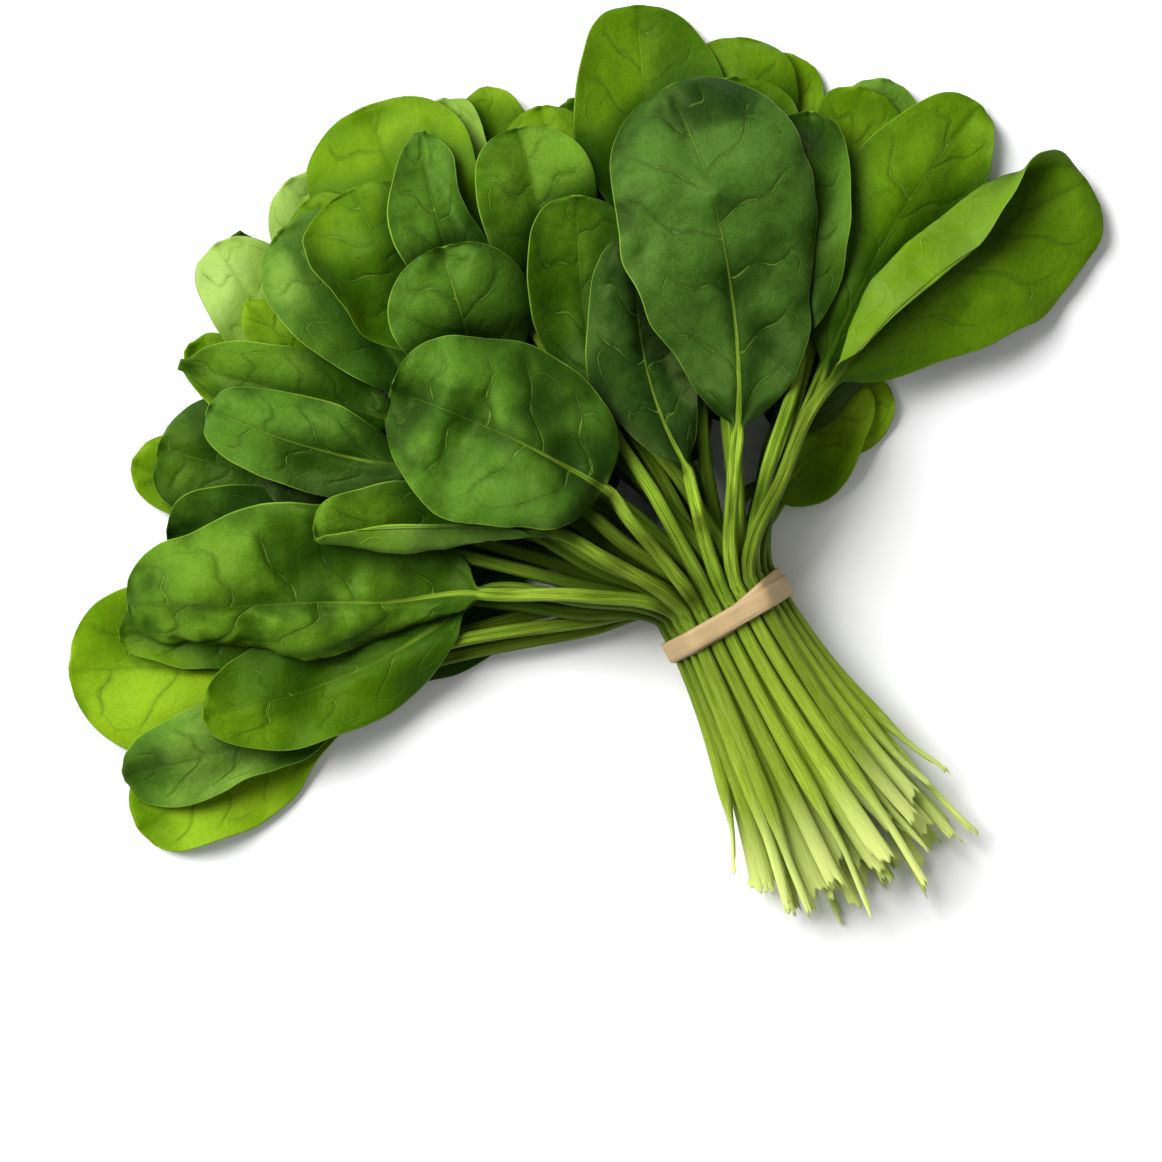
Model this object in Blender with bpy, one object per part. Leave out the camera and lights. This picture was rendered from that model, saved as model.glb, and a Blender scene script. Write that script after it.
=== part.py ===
"""A bunch of spinach tied with a rubber band, lying on its side.

Frame: +Y runs from the cut stem ends to the leaves, +X across the bunch, +Z up.
The origin is the middle of the flat underside of the rubber band, on the surface.
Lengths in the tables below are millimetres; the finished meshes are metres.
"""
import math
from collections import namedtuple

import bpy
import numpy as np

MM = 0.001

# Rubber band
BAND_WIDTH = 8.0            # along the bunch
BAND_THICK = 1.2
BAND_PLAY = 0.35            # clear space between band and stems
BAND_ARC = 16               # points to a full turn at its rounded corners
BAND_CHAMFER = 0.4

# Stems inside the band: rows of stems from the surface upwards
ROW_SIZES = (6, 7, 8, 9, 8, 7, 6)
STEM_PITCH = 4.5            # between stems of one row
ROW_RISE = 4.4              # between rows
STEM_RADIUS = 2.1           # in the band
STEM_RADIUS_BASE = 1.55     # where the blade begins
STEM_STRAIGHT = 6.0         # straight run each side of the band centre

# Fan beyond the band
GATE_RADIUS = 34.0
GATE_WIDEST = 70.0          # degrees from +Y
GATE_APART = 11.5           # degrees between neighbours of a row
LEVEL_RUN = 24.0            # rows keep their levels this far beyond the band
FAN_START = 0.60            # how much the stems already fan out by the band

# Cut ends
CUT_Y = -93.0               # middle of the cut ends
CUT_BACK = 0.006            # ends further out are shorter: mm per mm squared
CUT_SPREAD = 2.05           # how much wider than at the band
CUT_FLAT = 0.62             # how much lower than at the band
CUT_SCATTER = 5.0           # difference in length between neighbours
CUT_HALF_WIDTH = 2.7        # the ends are pressed flat
CUT_HALF_HEIGHT = 1.6

# Blades
BLADE_THICK = 0.9
STEEPEST = 0.6              # lean of the thickness on steep sides, radians
WAVES = 1.5                 # edge waves along a blade
COLUMNS = (-1.0, -0.45, 0.0, 0.45, 1.0)
STEM_ANGLES = (162.0, 126.0, 90.0, 54.0, 18.0)
# Stations: -2..-1 cut part, -1..0 inside the band, 0..1 stem, 1..2 blade
STATIONS = (-2.0, -1.5, -1.0, 0.0, 0.15, 0.32, 0.52, 0.76, 1.0,
            1.06, 1.17, 1.31, 1.46, 1.62, 1.77, 1.90, 1.985)

# Piling up
CELL = 0.4                  # grid of the height map
GAP = 0.35                  # clear space kept between leaves
LIFT_SLOPE = 0.6            # steepest rise that the pile may add across a blade
CLEAR_START, CLEAR_FULL = 10.0, 30.0
FIELD_LOW = (-225.0, -125.0)
FIELD_SIZE = (430.0, 340.0)

Leaf = namedtuple("Leaf", "base tip half bow roll fold left right rise end wave phase taper")
Leaf.__new__.__defaults__ = (0.0, 0.0, 4.0, 18.0, 18.0, 4.0, 0.0, 2.0, 0.0, (0.75, 0.45))

# One entry a leaf, lowest first; rows as in ROW_SIZES.
#   base, tip   where the blade starts and ends
#   half        greatest half width
#   bow         sideways bend of the midrib, + to the right seen from the base
#   roll        + lifts the right side, degrees
#   fold        both halves raised about the midrib, degrees
#   left, right how far each side curls up by its edge, degrees (- is down)
#   rise, end   height of the middle and of the tip over a flat leaf
#   wave, phase edge waves
LEAVES = (
    # row 0, against the surface
    Leaf((-50, 32), (-146, 66), 22, left=-14, right=-14, rise=5, taper=(0.45, 0.45)),
    Leaf((-36, 40), (-96, 112), 22, left=-18, right=-18, rise=5, wave=2.5, taper=(0.45, 0.45)),
    Leaf((-15, 47), (-40, 150), 21, left=-20, right=-20, rise=7, wave=2.5, taper=(0.45, 0.45)),
    Leaf((11, 45), (24, 142), 20, left=-20, right=-20, rise=7, wave=2.5, taper=(0.45, 0.45)),
    Leaf((42, 30), (78, 38), 12, left=8, right=12, rise=2, end=2, phase=0.4),
    Leaf((30, 24), (71, 44), 14, bow=2, left=4, right=22, rise=2, end=2, taper=(0.45, 0.45)),
    # row 1
    Leaf((-111, 31), (-191, 25), 19, bow=1, left=25, right=10, wave=2.5),
    Leaf((-117, 45), (-187, 79), 26, left=-12, right=25, end=-2, wave=2.5, phase=0.3),
    Leaf((-99, 92), (-140, 126), 13, left=10, right=-10),
    Leaf((-76, 115), (-78, 174), 11, roll=-10, left=-25, right=-20, rise=7),
    Leaf((-3, 128), (11, 178), 13, phase=0.6),
    Leaf((57, 89), (99, 143), 15, roll=10),
    Leaf((41, 42), (118, 85), 19, left=-25, right=-25, rise=8, wave=2.5, taper=(0.45, 0.45)),
    # row 2
    Leaf((-108, 34), (-187, 42), 15, bow=-4, left=35, right=5, end=4, wave=2.2, phase=0.5),
    Leaf((-97, 94), (-130, 127), 20, left=30, right=-12),
    Leaf((-82, 103), (-108, 150), 12),
    Leaf((-48, 127), (-56, 181), 15, left=-10, right=30),
    Leaf((-10, 128), (-3, 181), 11, right=50, left=0),
    Leaf((13, 112), (34, 162), 11, roll=-8),
    Leaf((79, 66), (122, 122), 16, left=10, right=40, phase=0.2),
    Leaf((29, 50), (76, 128), 21, left=-30, right=-25, rise=9, wave=2.5, taper=(0.45, 0.45)),
    # row 3
    Leaf((-86, 50), (-168, 81), 15, left=30, right=0),
    Leaf((-91, 73), (-140, 101), 17, left=-10, right=25, rise=6),
    Leaf((-79, 109), (-85, 174), 17, left=30, right=10, end=3, phase=0.35),
    Leaf((-71, 111), (-85, 153), 8, left=-20, right=-10, rise=6),
    Leaf((-32, 118), (-24, 190), 28, left=-25, right=15, rise=7, end=-4, wave=2.5),
    Leaf((-47, 123), (-55, 172), 15, right=25, left=-10),
    Leaf((18, 88), (44, 137), 18, left=-30, right=-35, rise=9, wave=2.5),
    Leaf((51, 95), (89, 154), 20, left=-25, right=-25, rise=6, end=-5, wave=2.5, phase=0.7),
    Leaf((65, 63), (114, 123), 18, left=35, right=10, end=3, phase=0.1),
    # row 4
    Leaf((-67, 40), (-155, 48), 17, bow=-7, left=10, right=30, rise=2, wave=2.5, phase=0.2),
    Leaf((-59, 74), (-103, 108), 14, left=-25, right=-20, rise=8),
    Leaf((-60, 98), (-112, 146), 15, fold=14, left=35, right=5, end=4, taper=(0.7, 0.7)),
    Leaf((-51, 101), (-67, 167), 20, bow=3, left=-14, right=20, rise=6, wave=2.5),
    Leaf((4, 113), (24, 164), 15, left=-20, right=15, rise=6),
    Leaf((39, 98), (65, 178), 24, bow=-3, left=30, right=5, end=4, phase=0.15),
    Leaf((46, 83), (81, 143), 22, left=10, right=25),
    Leaf((61, 51), (144, 101), 21, bow=-4, left=-12, right=30, fold=4, end=4, phase=0.6),
    # row 5
    Leaf((-60, 81), (-110, 129), 15, bow=-3, left=25, right=-22, fold=4, rise=5, phase=0.3),
    Leaf((-41, 110), (-40, 168), 22, left=-10, right=20, rise=6, wave=2.5, phase=0.45),
    Leaf((-24, 114), (-13, 174), 15, bow=-3, left=10, right=55, fold=10, end=4, taper=(0.7, 0.65)),
    Leaf((-1, 98), (14, 161), 18, left=-18, right=-15, rise=7, end=-2, phase=0.8),
    Leaf((-63, 40), (-161, 88), 23, bow=4, left=-40, right=-16, fold=4, rise=7, end=-4, wave=3.0,
         phase=0.55, taper=(0.6, 0.45)),
    Leaf((58, 60), (95, 123), 15, left=-15, right=25, phase=0.9),
    Leaf((-33, 93), (-24, 138), 22, left=-20, right=-10, rise=6, end=-3, wave=2.5, phase=0.25,
         taper=(0.6, 0.42)),
    # row 6
    Leaf((-3, 75), (20, 133), 18, bow=-2, left=22, right=10, end=3, phase=0.1),
    Leaf((10, 43), (31, 113), 17, bow=-6, left=-30, right=-10, fold=6, rise=6, wave=3.0, phase=0.6),
    Leaf((-35, 46), (-99, 79), 14, bow=2, roll=-4, left=42, right=-20, fold=7, rise=5,
         taper=(0.7, 0.35)),
    Leaf((60, 46), (162, 65), 25, bow=-3, roll=-6, left=42, right=-32, fold=12, rise=9, end=2,
         wave=3.0, phase=0.35, taper=(0.85, 0.4)),
    Leaf((-15, 50), (-58, 107), 29, bow=2, left=-22, right=-16, fold=3, rise=8, end=-5, wave=2.5,
         phase=0.4, taper=(0.42, 0.42)),
    Leaf((29, 47), (60, 150), 31, bow=7, left=-20, right=-26, fold=7, rise=9, end=-9, wave=2.5,
         phase=0.7, taper=(0.72, 0.42)),
)

LEAF_COLOURS = ((0.045, 0.145, 0.030), (0.060, 0.190, 0.030), (0.090, 0.250, 0.035),
                (0.035, 0.115, 0.035), (0.130, 0.310, 0.045))
BAND_COLOUR = (0.62, 0.43, 0.25)


def smooth(value):
    value = np.clip(value, 0.0, 1.0)
    return value * value * (3.0 - 2.0 * value)


# ---------------------------------------------------------------- leaf shape

def slots():
    """(row, x in the band, gate) of every leaf; a row's stems keep the order of its fan.

    The gate is a point a little beyond the band; neighbours of a row pass apart there.
    """
    found, first = [None] * len(LEAVES), 0
    for row, count in enumerate(ROW_SIZES):
        fan = sorted(range(first, first + count), key=lambda k: math.atan2(*LEAVES[k].base))
        angles = [math.degrees(math.atan2(*LEAVES[k].base)) for k in fan]
        angles = [max(-GATE_WIDEST, min(GATE_WIDEST, angle)) for angle in angles]
        for _ in range(200):
            for i in range(count - 1):
                short = GATE_APART - (angles[i + 1] - angles[i])
                if short > 0:
                    angles[i] -= short / 2
                    angles[i + 1] += short / 2
        for column, k in enumerate(fan):
            x, angle = (column - (count - 1) / 2) * STEM_PITCH, math.radians(angles[column])
            gate = (0.45 * x + GATE_RADIUS * math.sin(angle),
                    STEM_STRAIGHT + GATE_RADIUS * math.cos(angle))
            found[k] = (row, x, gate)
        first += count
    return found


def slot_height(row):
    return BAND_THICK + BAND_PLAY + STEM_RADIUS + row * ROW_RISE


def hermite(start, start_way, end, end_way, u):
    """Point and slope of a cubic through two points with given directions."""
    a, m, b, n = (np.array(p, float)[:, None] for p in (start, start_way, end, end_way))
    point = ((2 * u**3 - 3 * u**2 + 1) * a + (u**3 - 2 * u**2 + u) * m
             + (3 * u**2 - 2 * u**3) * b + (u**3 - u**2) * n)
    slope = (6 * u**2 - 6 * u) * (a - b) + (3 * u**2 - 4 * u + 1) * m + (3 * u**2 - 2 * u) * n
    return point, slope


def blade_line(leaf, t):
    """Midrib in plan: a chord with a sideways bow."""
    base, tip = np.array(leaf.base, float), np.array(leaf.tip, float)
    chord = tip - base
    length = np.hypot(*chord)
    side = np.array((chord[1], -chord[0])) / length
    point = base[:, None] + chord[:, None] * t + side[:, None] * leaf.bow * 4 * t * (1 - t)
    slope = chord[:, None] + side[:, None] * leaf.bow * 4 * (1 - 2 * t)
    return point, slope / np.hypot(*slope)


def stem_line(leaf, slot_x, gate, u):
    """Stem in plan from the band through its gate to the blade."""
    start, gate, base = np.array((slot_x, STEM_STRAIGHT)), np.array(gate), np.array(leaf.base)
    _, heading = blade_line(leaf, np.zeros(1))
    near, far = np.hypot(*(gate - start)), np.hypot(*(base - gate))
    split = near / (near + far)
    through = (gate - start) / near + (base - gate) / far
    through /= np.hypot(*through)
    away = FAN_START * (gate - start) / near + (0.0, 1.0)
    away /= np.hypot(*away)
    first = u < split
    point, slope = np.empty((2, len(u))), np.empty((2, len(u)))
    point[:, first], slope[:, first] = hermite(
        start, away * near, gate, through * near, u[first] / split)
    point[:, ~first], slope[:, ~first] = hermite(
        gate, through * far, base, heading[:, 0] * far, (u[~first] - split) / (1.0 - split))
    return point, slope / np.hypot(*slope)


def cut_end(slot_x, row):
    """How far back the stem reaches; neighbours differ in length."""
    scatter = CUT_SCATTER * math.sin(2.1 * slot_x + 4.7 * row)
    return CUT_Y + CUT_BACK * (slot_x * CUT_SPREAD)**2 + scatter


def cut_line(slot_x, row, u):
    """Cut part, u from 0 at the end to 1 by the band: x, y, z."""
    y = -STEM_STRAIGHT + (cut_end(slot_x, row) + STEM_STRAIGHT) * (1.0 - u)
    away = (-STEM_STRAIGHT - y) / (-STEM_STRAIGHT - CUT_Y)
    away = away * (0.45 + 0.55 * np.minimum(away, 1.0))
    spread = 1.0 + (CUT_SPREAD - 1.0) * away
    clear = (STEM_PITCH - 0.1)**2 - (STEM_PITCH / 2 * spread)**2
    flat = np.maximum(1.0 + (CUT_FLAT - 1.0) * away, np.sqrt(np.maximum(clear, 0.0)) / ROW_RISE)
    low = slot_height(0) + (CUT_HALF_HEIGHT + 0.05 - slot_height(0)) * np.minimum(away, 1.0)
    return slot_x * spread, y, low + row * ROW_RISE * flat


def stem_fall(leaf, slot, g):
    """0 near the band, where rows keep their levels, to 1 at the blade."""
    _, slot_x, gate = slot
    length = (math.hypot(gate[0] - slot_x, gate[1] - STEM_STRAIGHT)
              + math.hypot(leaf.base[0] - gate[0], leaf.base[1] - gate[1]))
    return smooth((g * length - LEVEL_RUN) / (length - LEVEL_RUN))


def centre_line(leaf, slot, g):
    """Plan position, plan direction and height of the unlifted leaf at stations g."""
    row, slot_x, gate = slot
    x, y, z = np.empty_like(g), np.empty_like(g), np.zeros_like(g)
    dx, dy = np.zeros_like(g), np.ones_like(g)
    cut = g <= -1.0
    x[cut], y[cut], z[cut] = cut_line(slot_x, row, g[cut] + 2.0)
    held = (g > -1.0) & (g <= 0.0)
    x[held], y[held] = slot_x, STEM_STRAIGHT * (2 * g[held] + 1.0)
    z[held] = slot_height(row)
    stem = (g > 0.0) & (g <= 1.0)
    point, way = stem_line(leaf, slot_x, gate, g[stem])
    x[stem], y[stem] = point
    dx[stem], dy[stem] = way
    z[stem] = slot_height(row) * (1.0 - stem_fall(leaf, slot, g[stem]))
    blade = g > 1.0
    point, way = blade_line(leaf, g[blade] - 1.0)
    x[blade], y[blade] = point
    dx[blade], dy[blade] = way
    t = g[blade] - 1.0
    z[blade] = leaf.rise * 4 * t * (1 - t) + leaf.end * t * t
    return x, y, z, dx, dy


def stem_half_sizes(g):
    """Half width and half height of the stem."""
    out = np.clip(g, 0.0, 1.0)
    round_part = STEM_RADIUS + (STEM_RADIUS_BASE - STEM_RADIUS) * out**0.6
    pressed = smooth(-g - 1.0)
    wide = round_part + (CUT_HALF_WIDTH - STEM_RADIUS) * pressed
    high = round_part + (CUT_HALF_HEIGHT - STEM_RADIUS) * pressed
    return wide, high


def blade_half_width(leaf, t):
    p, q = leaf.taper
    peak = (p / (p + q))**p * (q / (p + q))**q
    t = np.clip(t, 0.0, 1.0)
    return leaf.half * t**p * (1.0 - t)**q / peak


def side_curve(leaf, s, width):
    """Sideways distance, height and slope angle across the blade at s from -1 to 1."""
    full = np.clip(width / (0.4 * leaf.half), 0.0, 1.0)
    fold, roll = math.radians(leaf.fold) * full, math.radians(leaf.roll) * full
    side = np.where(s < 0, -1.0, 1.0)
    rate = np.where(s < 0, math.radians(leaf.left), math.radians(leaf.right)) * full
    rate = np.where(np.abs(rate) < 1e-4, 1e-4, rate)
    near = np.where(s < 0, fold - roll, fold + roll)
    far = near + rate * np.abs(s)
    across = side * width * (np.sin(far) - np.sin(near)) / rate
    height = width * (np.cos(near) - np.cos(far)) / rate
    return across, height, side * far


def edge_wave(leaf, t, s):
    ripple = np.sin(2 * math.pi * (WAVES * t + leaf.phase) + np.where(s > 0, 2.1, 0.0))
    return leaf.wave * s * s * ripple * smooth(t * 4.0)


def leaf_points(leaf, slot, stations, columns, lift):
    """Top and bottom points, shape (stations, columns, 3), raised by lift."""
    g = np.asarray(stations, float)
    x, y, z, dx, dy = centre_line(leaf, slot, g)
    s = np.asarray(columns, float)[None, :]
    t = np.clip(g - 1.0, 0.0, 1.0)[:, None]
    wide, high = (v[:, None] for v in stem_half_sizes(g))
    width = blade_half_width(leaf, t)
    spread = smooth((width - wide) / (2.5 * wide))

    angle = np.interp(s, COLUMNS, np.radians(STEM_ANGLES))
    stem_across, stem_high = wide * np.cos(angle), high * np.sin(angle)
    across, height, slope = side_curve(leaf, s, np.maximum(width, wide))
    height = height + edge_wave(leaf, t, s)
    rib = wide * (1.0 - t) * np.maximum(0.0, 1.0 - np.abs(s) / 0.45)
    upper, lower = BLADE_THICK / 2, BLADE_THICK / 2 + rib
    slope = np.clip(slope, -STEEPEST, STEEPEST)
    lean, level = np.sin(slope), np.cos(slope)

    sides = []
    for blade_off, stem_off in ((upper, stem_high), (-lower, -stem_high)):
        a = (1 - spread) * stem_across + spread * (across - lean * blade_off)
        h = (1 - spread) * stem_off + spread * (height + level * blade_off)
        sides.append(np.stack((x[:, None] + a * dy[:, None], y[:, None] - a * dx[:, None],
                               z[:, None] + h + lift), axis=-1))
    return sides


def leaf_faces(rows, columns):
    """Triangles of the closed leaf; both faces are split the same way."""
    def top(i, j):
        return i * columns + j

    def bottom(i, j):
        return rows * columns + i * columns + j

    faces = []
    for i in range(rows - 1):
        for j in range(columns - 1):
            if j < columns // 2:
                halves = (((0, 0), (0, 1), (1, 1)), ((0, 0), (1, 1), (1, 0)))
            else:
                halves = (((0, 0), (0, 1), (1, 0)), ((0, 1), (1, 1), (1, 0)))
            for half in halves:
                faces.append([top(i + di, j + dj) for di, dj in half])
                faces.append([bottom(i + di, j + dj) for di, dj in reversed(half)])
        for j, flip in ((0, True), (columns - 1, False)):
            ring = [top(i, j), bottom(i, j), bottom(i + 1, j), top(i + 1, j)]
            ring = ring[::-1] if flip else ring
            faces += [[ring[0], ring[1], ring[2]], [ring[0], ring[2], ring[3]]]
    for i, flip in ((0, False), (rows - 1, True)):
        for j in range(columns - 1):
            ring = [top(i, j), bottom(i, j), bottom(i, j + 1), top(i, j + 1)]
            ring = ring[::-1] if flip else ring
            faces += [[ring[0], ring[1], ring[2]], [ring[0], ring[2], ring[3]]]
    return np.array(faces)


# ---------------------------------------------------------------- piling up

class HeightMap:
    """Highest point of everything placed so far, on a grid over the surface."""

    def __init__(self):
        shape = [int(size / CELL) + 1 for size in FIELD_SIZE]
        self.sharp = np.full(shape, -GAP, np.float32)
        self.wide = np.full(shape, -GAP, np.float32)

    @staticmethod
    def cell(points):
        return (((points[:, 0] - FIELD_LOW[0]) / CELL).astype(int),
                ((points[:, 1] - FIELD_LOW[1]) / CELL).astype(int))

    def add(self, points):
        layer = np.full(self.sharp.shape, -GAP, np.float32)
        np.maximum.at(layer, self.cell(points), points[:, 2].astype(np.float32))
        self.sharp = np.maximum(self.sharp, layer)
        for axis in (0, 1):
            layer = np.maximum(layer, np.maximum(np.roll(layer, 1, axis), np.roll(layer, -1, axis)))
        self.wide = np.maximum(self.wide, layer)

    def height(self, points):
        cell = self.cell(points)
        from_band = band_distance(points)
        return np.where(from_band < 40.0, self.sharp[cell], self.wide[cell])


def band_distance(points):
    return np.hypot(np.maximum(np.abs(points[:, 0]) - 20.0, 0.0), points[:, 1])


def face_samples(points, faces):
    """Barycentric samples closer together than a cell: face index and weights."""
    corners = points[faces]
    edges = np.linalg.norm(corners - np.roll(corners, 1, axis=1), axis=2).max(axis=1)
    steps = np.ceil(edges / (0.85 * CELL)).astype(int)
    ids, weights = [], []
    for step in np.unique(steps):
        chosen = np.nonzero(steps == step)[0]
        a, b = np.meshgrid(np.arange(step + 1), np.arange(step + 1), indexing="ij")
        keep = a + b <= step
        w = np.stack((a[keep], b[keep], step - a[keep] - b[keep]), axis=1) / step
        ids.append(np.repeat(chosen, len(w)))
        weights.append(np.tile(w, (len(chosen), 1)))
    return np.concatenate(ids), np.concatenate(weights)


def upper_fit(basis, values, rounds=10):
    """Least squares that passes over most of the values."""
    weight = np.ones(len(values))
    for _ in range(rounds):
        root = np.sqrt(weight)
        fit = np.linalg.lstsq(basis * root[:, None], values * root, rcond=None)[0]
        weight = np.where(values > basis @ fit, 0.85, 0.15)
    return fit


def follow_pile(leaf, slot, pile, stations, columns):
    """First lift: a bent sheet that follows the pile, tilted so that the leaf lies on it."""
    g, s = np.linspace(1.04, 1.96, 24), np.linspace(-1, 1, 9)
    _, bottom = leaf_points(leaf, slot, g, s, 0.0)
    flat = bottom.reshape(-1, 3)
    ground = pile.height(flat) + GAP
    tt, ss = (v.ravel() for v in np.meshgrid(g - 1.0, s, indexing="ij"))

    def bent(t, side):
        return np.stack((np.ones_like(t), t, t * t, side, side * t), axis=1)

    def plane(t, side):
        return np.stack((np.ones_like(t), t, side), axis=1)

    sheet = upper_fit(bent(tt, ss), ground)
    tilt = upper_fit(plane(tt, ss), ground - flat[:, 2] - bent(tt, ss) @ sheet)
    grid = np.meshgrid(np.clip(np.array(stations) - 1.0, 0, 1), columns, indexing="ij")
    t, side = (v.ravel() for v in grid)
    lift = (bent(t, side) @ sheet + plane(t, side) @ tilt).reshape(grid[0].shape)
    base = lift[STATIONS.index(1.0), len(columns) // 2]
    on_stem = np.array(stations)[:, None] <= 1.0
    return np.where(on_stem, base * stem_fall(leaf, slot, np.array(stations))[:, None], lift)


def settle(leaf, slot, pile, faces):
    """Raise the lattice of a leaf until it lies clear on the pile."""
    count = len(COLUMNS)
    lift = follow_pile(leaf, slot, pile, STATIONS, COLUMNS)
    top, bottom = leaf_points(leaf, slot, STATIONS, COLUMNS, 0.0)
    points = np.concatenate((top.reshape(-1, 3), bottom.reshape(-1, 3)))
    ids, weights = face_samples(points, faces)
    corner = faces[ids]
    where = np.einsum("nk,nkc->nc", weights, points[corner])
    distance = band_distance(where)
    ramp = np.clip((distance - CLEAR_START) / (CLEAR_FULL - CLEAR_START), 0.0, 1.0)
    floor = pile.height(where) + GAP * ramp
    corner, short = corner % lift.size, floor - where[:, 2]
    slack = (weights * lift.ravel()[corner]).sum(axis=1) - short
    near = (distance > CLEAR_START) & (where[:, 1] > 0) & (slack < 4.0)
    corner, weights, short = corner[near], weights[near], short[near]
    share = weights / (weights**2).sum(axis=1, keepdims=True)
    step = LIFT_SLOPE * np.linalg.norm(np.diff(top[:, :, :2], axis=1), axis=2)
    fixed = np.array(STATIONS) <= 0.0
    on_stem = np.array(STATIONS) <= 1.0
    lift = lift.ravel()
    for turn in range(60):
        lack = short - (weights * lift[corner]).sum(axis=1)
        if lack.max() < 0.01:
            break
        raise_by = np.zeros_like(lift)
        over = lack > 0
        for k in range(3):
            np.maximum.at(raise_by, corner[over, k], (lack[over] * share[over, k]))
        lift = lift + raise_by
        grid = lift.reshape(-1, count)
        if turn in (6, 12, 18):
            grid = ease(grid)
        for _ in range(count):
            grid[:, 1:] = np.maximum(grid[:, 1:], grid[:, :-1] - step)
            grid[:, :-1] = np.maximum(grid[:, :-1], grid[:, 1:] - step)
        grid[on_stem] = grid[on_stem].max(axis=1, keepdims=True)
        grid[fixed] = 0.0
        lift = grid.ravel()
    return lift.reshape(-1, count)


def ease(grid):
    """Soften dents by raising points below the mean of their neighbours."""
    padded = np.pad(grid, 1, mode="edge")
    along = (padded[:-2, 1:-1] + padded[2:, 1:-1]) / 2
    over = (padded[1:-1, :-2] + padded[1:-1, 2:]) / 2
    return np.maximum(grid, (along + over) / 2)


def pile_leaves():
    """Points of every leaf, settled one on another."""
    faces = leaf_faces(len(STATIONS), len(COLUMNS))
    pile, made = HeightMap(), []
    for leaf, slot in zip(LEAVES, slots()):
        lift = settle(leaf, slot, pile, faces)
        top, bottom = leaf_points(leaf, slot, STATIONS, COLUMNS, lift)
        points = np.concatenate((top.reshape(-1, 3), bottom.reshape(-1, 3)))
        ids, weights = face_samples(points, faces)
        pile.add(np.einsum("nk,nkc->nc", weights, points[faces[ids]]))
        made.append(points)
    return made, faces


# ---------------------------------------------------------------- rubber band

def convex_outline(points):
    """Convex hull, anticlockwise."""
    points = sorted(set(points))
    chains = []
    for ordered in (points, points[::-1]):
        chain = []
        for p in ordered:
            while len(chain) > 1 and ((chain[-1][0] - chain[-2][0]) * (p[1] - chain[-2][1])
                                      <= (chain[-1][1] - chain[-2][1]) * (p[0] - chain[-2][0])):
                chain.pop()
            chain.append(p)
        chains.append(chain[:-1])
    return chains[0] + chains[1]


def band_mesh():
    """A flat loop pulled tight round the stems, lying on its flat lowest side."""
    ends = [((column - (count - 1) / 2) * STEM_PITCH, slot_height(row))
            for row, count in enumerate(ROW_SIZES) for column in (0, count - 1)]
    angles = [2 * math.pi * k / BAND_ARC for k in range(BAND_ARC)]
    reach = STEM_RADIUS + BAND_PLAY
    cloud = {(round(x + reach * math.cos(a), 6), round(z + reach * math.sin(a), 6)): (x, z, a)
             for x, z in ends for a in angles}
    loop = [cloud[point] for point in convex_outline(cloud)]
    half, rim = BAND_WIDTH / 2, BAND_THICK - BAND_CHAMFER
    section = ((-half, 0.0), (-half, rim), (-half + BAND_CHAMFER, BAND_THICK),
               (half - BAND_CHAMFER, BAND_THICK), (half, rim), (half, 0.0))
    points = [(x + (reach + out) * math.cos(a), y, z + (reach + out) * math.sin(a))
              for x, z, a in loop for y, out in section]
    faces, size = [], len(section)
    for i in range(len(loop)):
        j = (i + 1) % len(loop)
        for k in range(size):
            m = (k + 1) % size
            a, b, c, d = i * size + k, i * size + m, j * size + m, j * size + k
            faces += [(a, b, c), (a, c, d)]
    return np.array(points), np.array(faces)


# ---------------------------------------------------------------- objects

def material(name, colour, roughness):
    made = bpy.data.materials.new(name)
    made.use_nodes = True
    shader = made.node_tree.nodes["Principled BSDF"]
    shader.inputs["Base Color"].default_value = (*colour, 1.0)
    shader.inputs["Roughness"].default_value = roughness
    return made


def add_object(name, points, faces, surface):
    mesh = bpy.data.meshes.new(name)
    mesh.from_pydata((points * MM).tolist(), [], faces.tolist())
    mesh.shade_smooth()
    mesh.set_sharp_from_angle(angle=math.radians(50.0))
    mesh.materials.append(surface)
    bpy.context.scene.collection.objects.link(bpy.data.objects.new(name, mesh))


def main():
    for thing in list(bpy.data.objects):
        bpy.data.objects.remove(thing, do_unlink=True)
    leaves, faces = pile_leaves()
    for k, points in enumerate(leaves):
        name = f"leaf_{k + 1:02d}"
        colour = LEAF_COLOURS[k % len(LEAF_COLOURS)]
        add_object(name, points, faces, material(name, colour, 0.5))
    points, faces = band_mesh()
    add_object("rubber_band", points, faces, material("rubber_band", BAND_COLOUR, 0.6))


main()
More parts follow.
